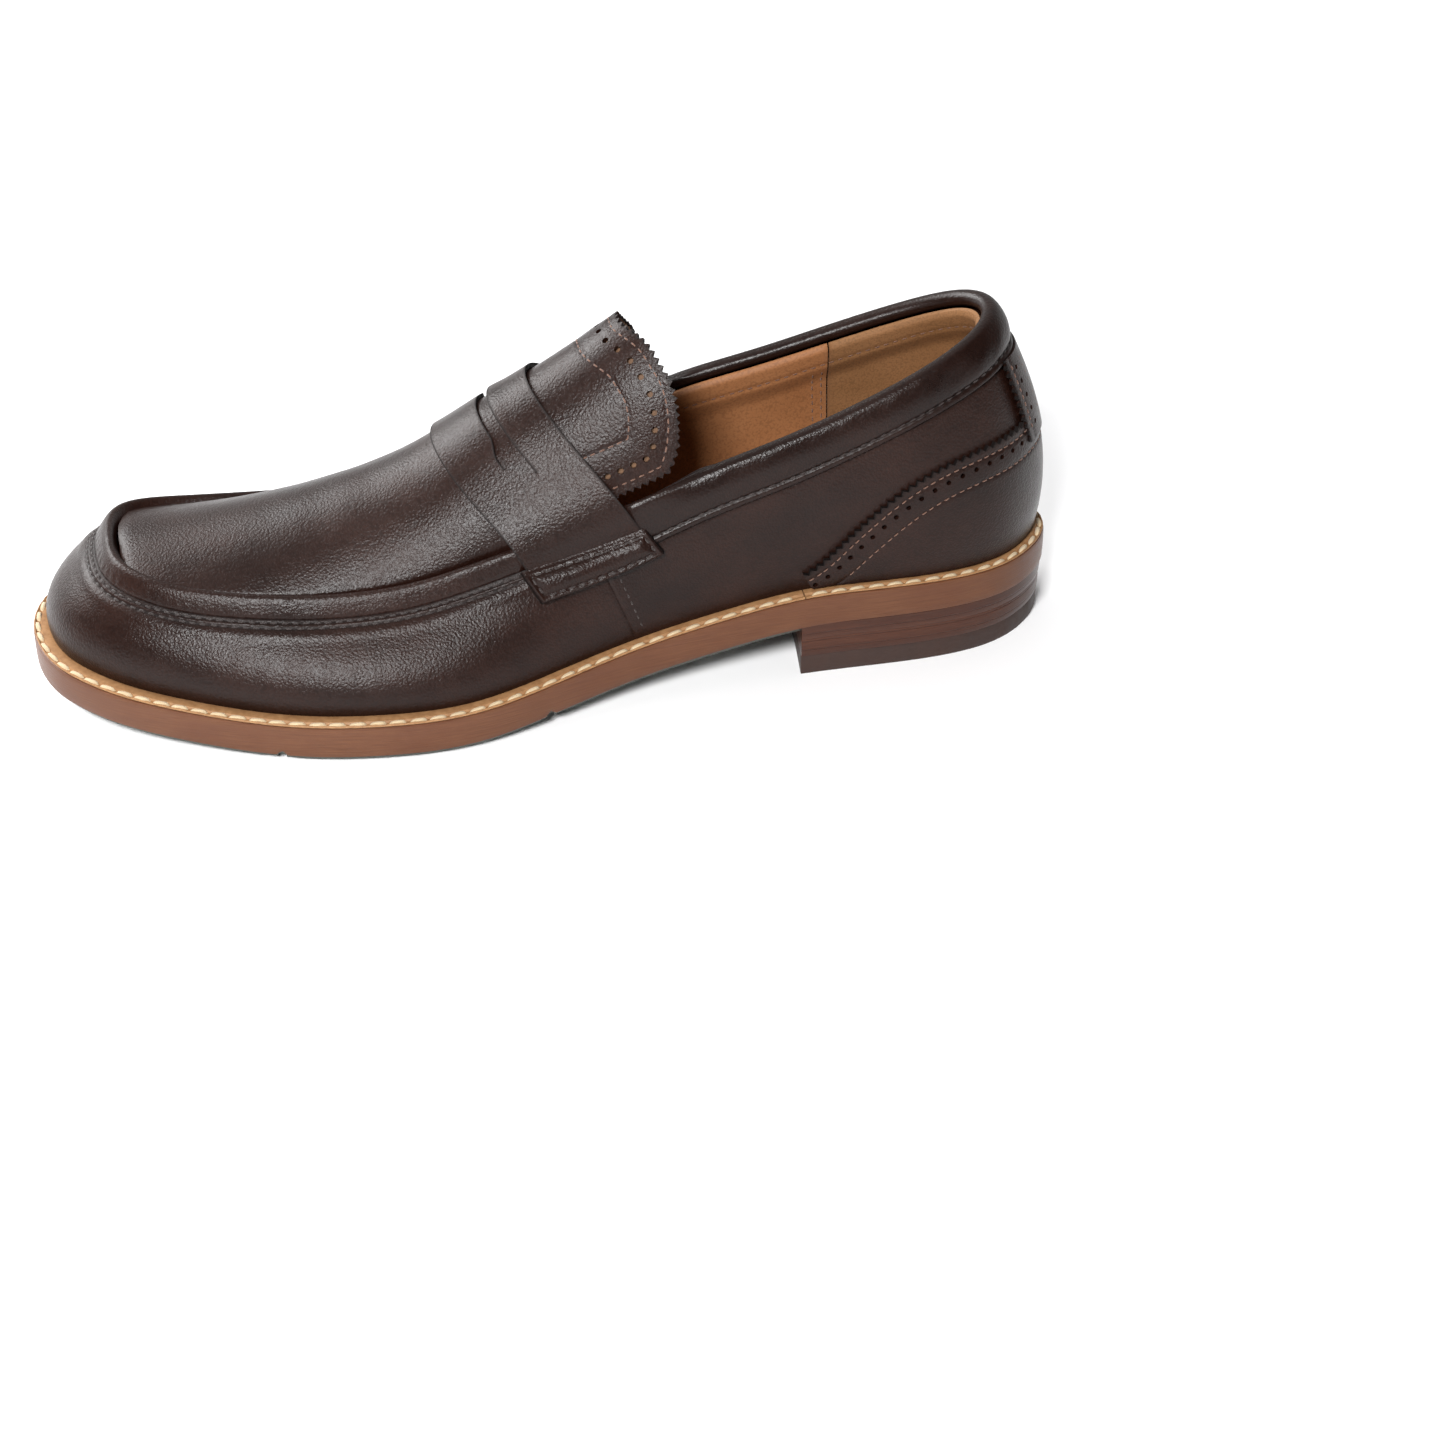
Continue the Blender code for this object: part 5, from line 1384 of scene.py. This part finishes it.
def build_sock():
    r = np.linspace(0, 1, 150)
    tl, tm = HALF * r, FULL - HALF * r
    tl[0], tm[0] = 0.001, FULL - 0.001
    le, ri = outline(tl, np.full(150, -5.2)), outline(tm, np.full(150, -5.2))
    lift = lambda s, k: root(s) + 11.3 + 3.4 * smooth01((s - 185) / 50) + 0.9 * (np.abs(2 * k - 1) ** 6) * (s > 30)
    slab_grid("sock_leather", le, ri, lift, lambda s, k: lift(s, k) + 1.0, SOCK, "sock_leather", np.linspace(0, 1, 27),
              replaces=["sock_lining"])


# ---- sole -------------------------------------------------------------------
def ring_strip(name, t, prof, look, slot, wave, wrap=False, **kw):
    """Section of (outward from the sole edge, height) pairs carried round the outline."""
    rings = np.zeros((len(t), len(prof), 3))
    for k, (o, z) in enumerate(prof):
        rings[:, k] = raised(outline(t, sole_off(t) + o), z)
        rings[:, k, 2] += wave(t, o, z)
    return loop_body(name, rings, look, slot, wrap=wrap, **kw)


def build_welt():
    tl, tm = station_of(BREAST + 0.5, -1), station_of(BREAST + 0.5, 1)
    prof = [(-6.5, 6.75), (-0.95, 6.75), (-0.95, 7.95), (-0.5, 8.1), (-0.25, 8.3), (-0.2, 8.55), (-0.35, 8.8),
            (-0.6, 8.85), (-0.8, 8.55), (-1.0, 8.35), (-1.9, 8.35), (-2.1, 8.6), (-2.35, 8.9), (-3.2, 9.0), (-6.0, 8.9),
            (-6.5, 8.6)]

    def wave(t, o, z):
        return 0.10 * np.sin(t * 24.0) * (z > 8.5) * (o > -1.0)
    t = np.linspace(tm - FULL + 0.004, tl - 0.004, 520)
    ring_strip("welt_strip", t, prof, WELT, "welt_leather", wave=wave, replaces=["welt"])
    t2 = np.linspace(tl + 0.012, tm - 0.012, 230)
    ring_strip("heel_rand_strip", t2, prof, WELT, "welt_leather", wave=wave, replaces=["heel_rand"])
    for name, tt, rep in (("welt_stitches", np.linspace(t[0] + 0.02, t[-1] - 0.02, 1500), ["welt_thread"]),
                          ("rand_stitches", np.linspace(t2[0] + 0.03, t2[-1] - 0.03, 700), [])):
        p = raised(outline(tt, sole_off(tt) - 1.4), 8.62)
        nn = np.zeros_like(p)
        nn[:, 2] = 1
        stitches(name, [(p, nn)], CREAM, "cream_thread", 5.6, 5.3, 0.78, flat=0.8, sink=0.55, lean=0.3, replaces=rep)


def build_midsole():
    t = np.linspace(0, FULL, 901)[:-1]

    def nick(t, o, z):
        s = outline(t, sole_off(t))[:, 0]
        return 1.5 * (z < -0.5) * (dent(s - 70, 0.9) + dent(s - 146, 0.9))
    prof = [(-14.0, -0.2), (-1.2, -0.2), (-1.2, -1.5), (-0.5, -1.55), (-0.15, -1.35), (0.0, -0.9), (0.05, 1.0),
            (0.1, 3.5), (0.05, 6.3), (0.0, 7.3), (-0.15, 7.8), (-0.45, 8.0), (-0.85, 7.85), (-0.88, 6.4),
            (-14.0, 6.35)]
    ring_strip("midsole_edge", t, prof, SIDE, "sole_leather", wrap=True, wave=nick, replaces=["midsole"])


def tread(x, k):
    """Depth of the tread pattern under the forepart and waist."""
    cut = 2.2 * ((np.abs(x - 70) < 1.1) | (np.abs(x - 146) < 1.1))
    w = np.abs(2 * k - 1)
    fore = (x > 22) & (x < 134) & (w < 0.80) & (np.abs(x - 70) > 4)
    zig = np.abs(np.mod(x + 3.0 * np.abs(np.mod(k * 10, 2) - 1), 7.0) - 3.5) < 0.9
    return np.maximum(cut, 0.7 * (fore & zig))


def build_outsole():
    s_fore = np.arange(33.0, BREAST - 0.3, 0.85)
    groove_walls = [68.85, 68.95, 71.05, 71.15, 144.85, 144.95, 147.05, 147.15]
    s_fore = np.sort(np.concatenate([s_fore, groove_walls + [BREAST - 0.3]]))
    f_l, f_m = station_of(33.0, -1), station_of(33.0, 1)
    tl = np.concatenate([np.linspace(0, f_l, 40)[:-1], station(s_fore, -1)])
    tm = np.concatenate([FULL + np.linspace(0, f_m - FULL, 40)[:-1], station(s_fore, 1)])
    le, ri = edge_rows(1.4, tl, tm)
    le[-1, 0] = ri[-1, 0] = BREAST - 0.3
    for at in (70, 146):
        rows = np.where(np.abs(s_fore - at) < 4)[0] + 39
        le[rows, 0] = ri[rows, 0] = s_fore[rows - 39]
    k = np.concatenate([[0, 0.004, 0.012, 0.024], np.linspace(0.04, 0.96, 57), [0.976, 0.988, 0.996, 1.0]])

    def ground(s, kk):
        w = np.minimum(kk, 1 - kk) * (ri - le)[:, 1:2]
        w = np.minimum(np.abs(w), 3.0)
        tuck = 2.0 * (1 - np.sqrt(np.clip(1 - (1 - w / 3.0) ** 2, 0, 1)))
        low = np.maximum(root(s) - RUBBER, 0.0) + tread(s, kk) + tuck
        return np.minimum(low, root(s) - 1.7 - 0.2 * (w < 1e-6))
    slab_grid("outsole_rubber", le, ri, ground, lambda s, kk: root(s) - 0.25 - 1.3 * (np.minimum(kk, 1 - kk) < 0.002),
              TREAD, "sole_rubber", k, replaces=["outsole"])


def heel_ring(cut, count=150, across=22):
    """Closed outline of the heel: round the back, then straight along the breast."""
    sl, sm = station_of(BREAST, -1), station_of(BREAST, 1)
    t = np.linspace(sl, sm, count)
    p = outline(t, sole_off(t, cut))
    p[0, 0] = p[-1, 0] = BREAST
    k = np.linspace(0, 1, across + 2)[1:-1, None]
    bow = np.stack([1.6 * np.sin(k[:, 0] * math.pi), 0 * k[:, 0]], -1)
    return np.concatenate([p, p[-1] * (1 - k) + p[0] * k + bow])


def build_heel():
    """Three blocks with softened edges and a light waist, their breast hollowed a little."""
    for name, z0, z1, cut, look, slot, node in (
            ("top_lift_rubber", 0.0, 6.05, 1.1, TOP, "heel_rubber", "heel_top_lift"),
            ("heel_stack_lower", 6.15, 12.0, 0.8, STACK, "stacked_heel_leather", "heel_lift_lower"),
            ("heel_stack_upper", 12.1, None, 0.5, STACK, "stacked_heel_leather", "heel_lift_upper")):
        levels = [(0.0, 0.35), (0.12, 0.1), (0.3, 0.0), (0.5, 0.03), (0.7, 0.0), (0.88, 0.08), (1.0, 0.3)]
        rings = []
        for f, inset in levels:
            ring = heel_ring(cut + inset)
            top = root(ring[:, 0]) - 0.05 if z1 is None else np.full(len(ring), z1)
            zz = z0 + (top - z0) * (f if f in (0.0, 1.0) else 0.06 + 0.88 * f)
            rings.append(np.concatenate([ring, zz[:, None]], 1))
        loop_body(name, np.array(rings), look, slot, replaces=[node])


def finish_hidden():
    """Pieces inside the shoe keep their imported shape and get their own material."""
    slots = {p["node"]: p["material_slot"] for p in frame["record"]["subparts"]}
    for node, ob in frame["nodes"].items():
        if ob.hide_render:
            continue
        look = HIDDEN.get(slots[node], UPPER)
        ob.data.materials.clear()
        ob.data.materials.append(look)


# ---- camera, floor and light ------------------------------------------------
def aim(ob, at):
    v = mathutils.Vector(at) - ob.location
    ob.rotation_euler = v.to_track_quat('-Z', 'Y').to_euler()


def build_camera():
    cam = place("camera", bpy.data.cameras.new("camera"))
    cam.data.lens = 73.84
    cam.data.sensor_width = 36.0
    cam.data.clip_end = 20
    cam.location = (-0.0645, -0.7403, 0.4752)
    aim(cam, (0.0445, -0.0497, 0.0))
    bpy.context.scene.camera = cam


def build_floor():
    me = bpy.data.meshes.new("floor")
    me.from_pydata([(-4, -3, 0), (4, -3, 0), (4, 5, 0), (-4, 5, 0)], [], [(0, 1, 2, 3)])
    look = Look("floor_look", 0.7)
    look.b.inputs["Base Color"].default_value = (0.93, 0.93, 0.935, 1)
    me.materials.append(look.m)
    place("floor", me)


def lamp(name, at, to, size, power):
    d = bpy.data.lights.new(name, 'AREA')
    d.shape = 'RECTANGLE'
    d.size, d.size_y = size
    d.energy = power
    ob = place(name, d)
    ob.location = at
    aim(ob, to)


def build_light():
    """Bright surround behind the shoe, dim in front of it, and three soft boxes."""
    w = bpy.data.worlds.new("studio")
    bpy.context.scene.world = w
    w.use_nodes = True
    t = w.node_tree
    bg = t.nodes["Background"]
    bg.inputs[0].default_value = (1.0, 0.995, 0.99, 1)
    way = t.nodes.new("ShaderNodeSeparateXYZ")
    t.links.new(t.nodes.new("ShaderNodeTexCoord").outputs["Generated"], way.inputs[0])
    span = t.nodes.new("ShaderNodeMapRange")
    span.interpolation_type = 'SMOOTHSTEP'
    for k, v in ((1, -0.1), (2, 0.75), (3, 0.10), (4, 0.62)):
        span.inputs[k].default_value = v
    t.links.new(way.outputs[1], span.inputs[0])
    t.links.new(span.outputs[0], bg.inputs[1])
    lamp("key_box", (-0.34, -0.90, 0.80), (0.0, 0.0, 0.05), (0.32, 0.24), 23)
    lamp("back_box", (-0.92, 0.85, 0.86), (0.0, 0.0, 0.05), (0.95, 0.75), 30)
    lamp("right_box", (0.95, -1.05, 0.42), (0.10, -0.03, 0.05), (0.35, 0.5), 0.8)
    lamp("top_box", (-0.1, 0.2, 1.6), (0, 0, 0), (1.4, 1.2), 3)


for build in (build_camera, build_floor, build_light, build_upper, build_plug, build_ridge, build_strap,
              build_strap_ends, build_tongue, build_collar, build_heel_cover, build_backstay, build_linings,
              build_sock, build_welt, build_midsole, build_outsole, build_heel, finish_hidden):
    build()
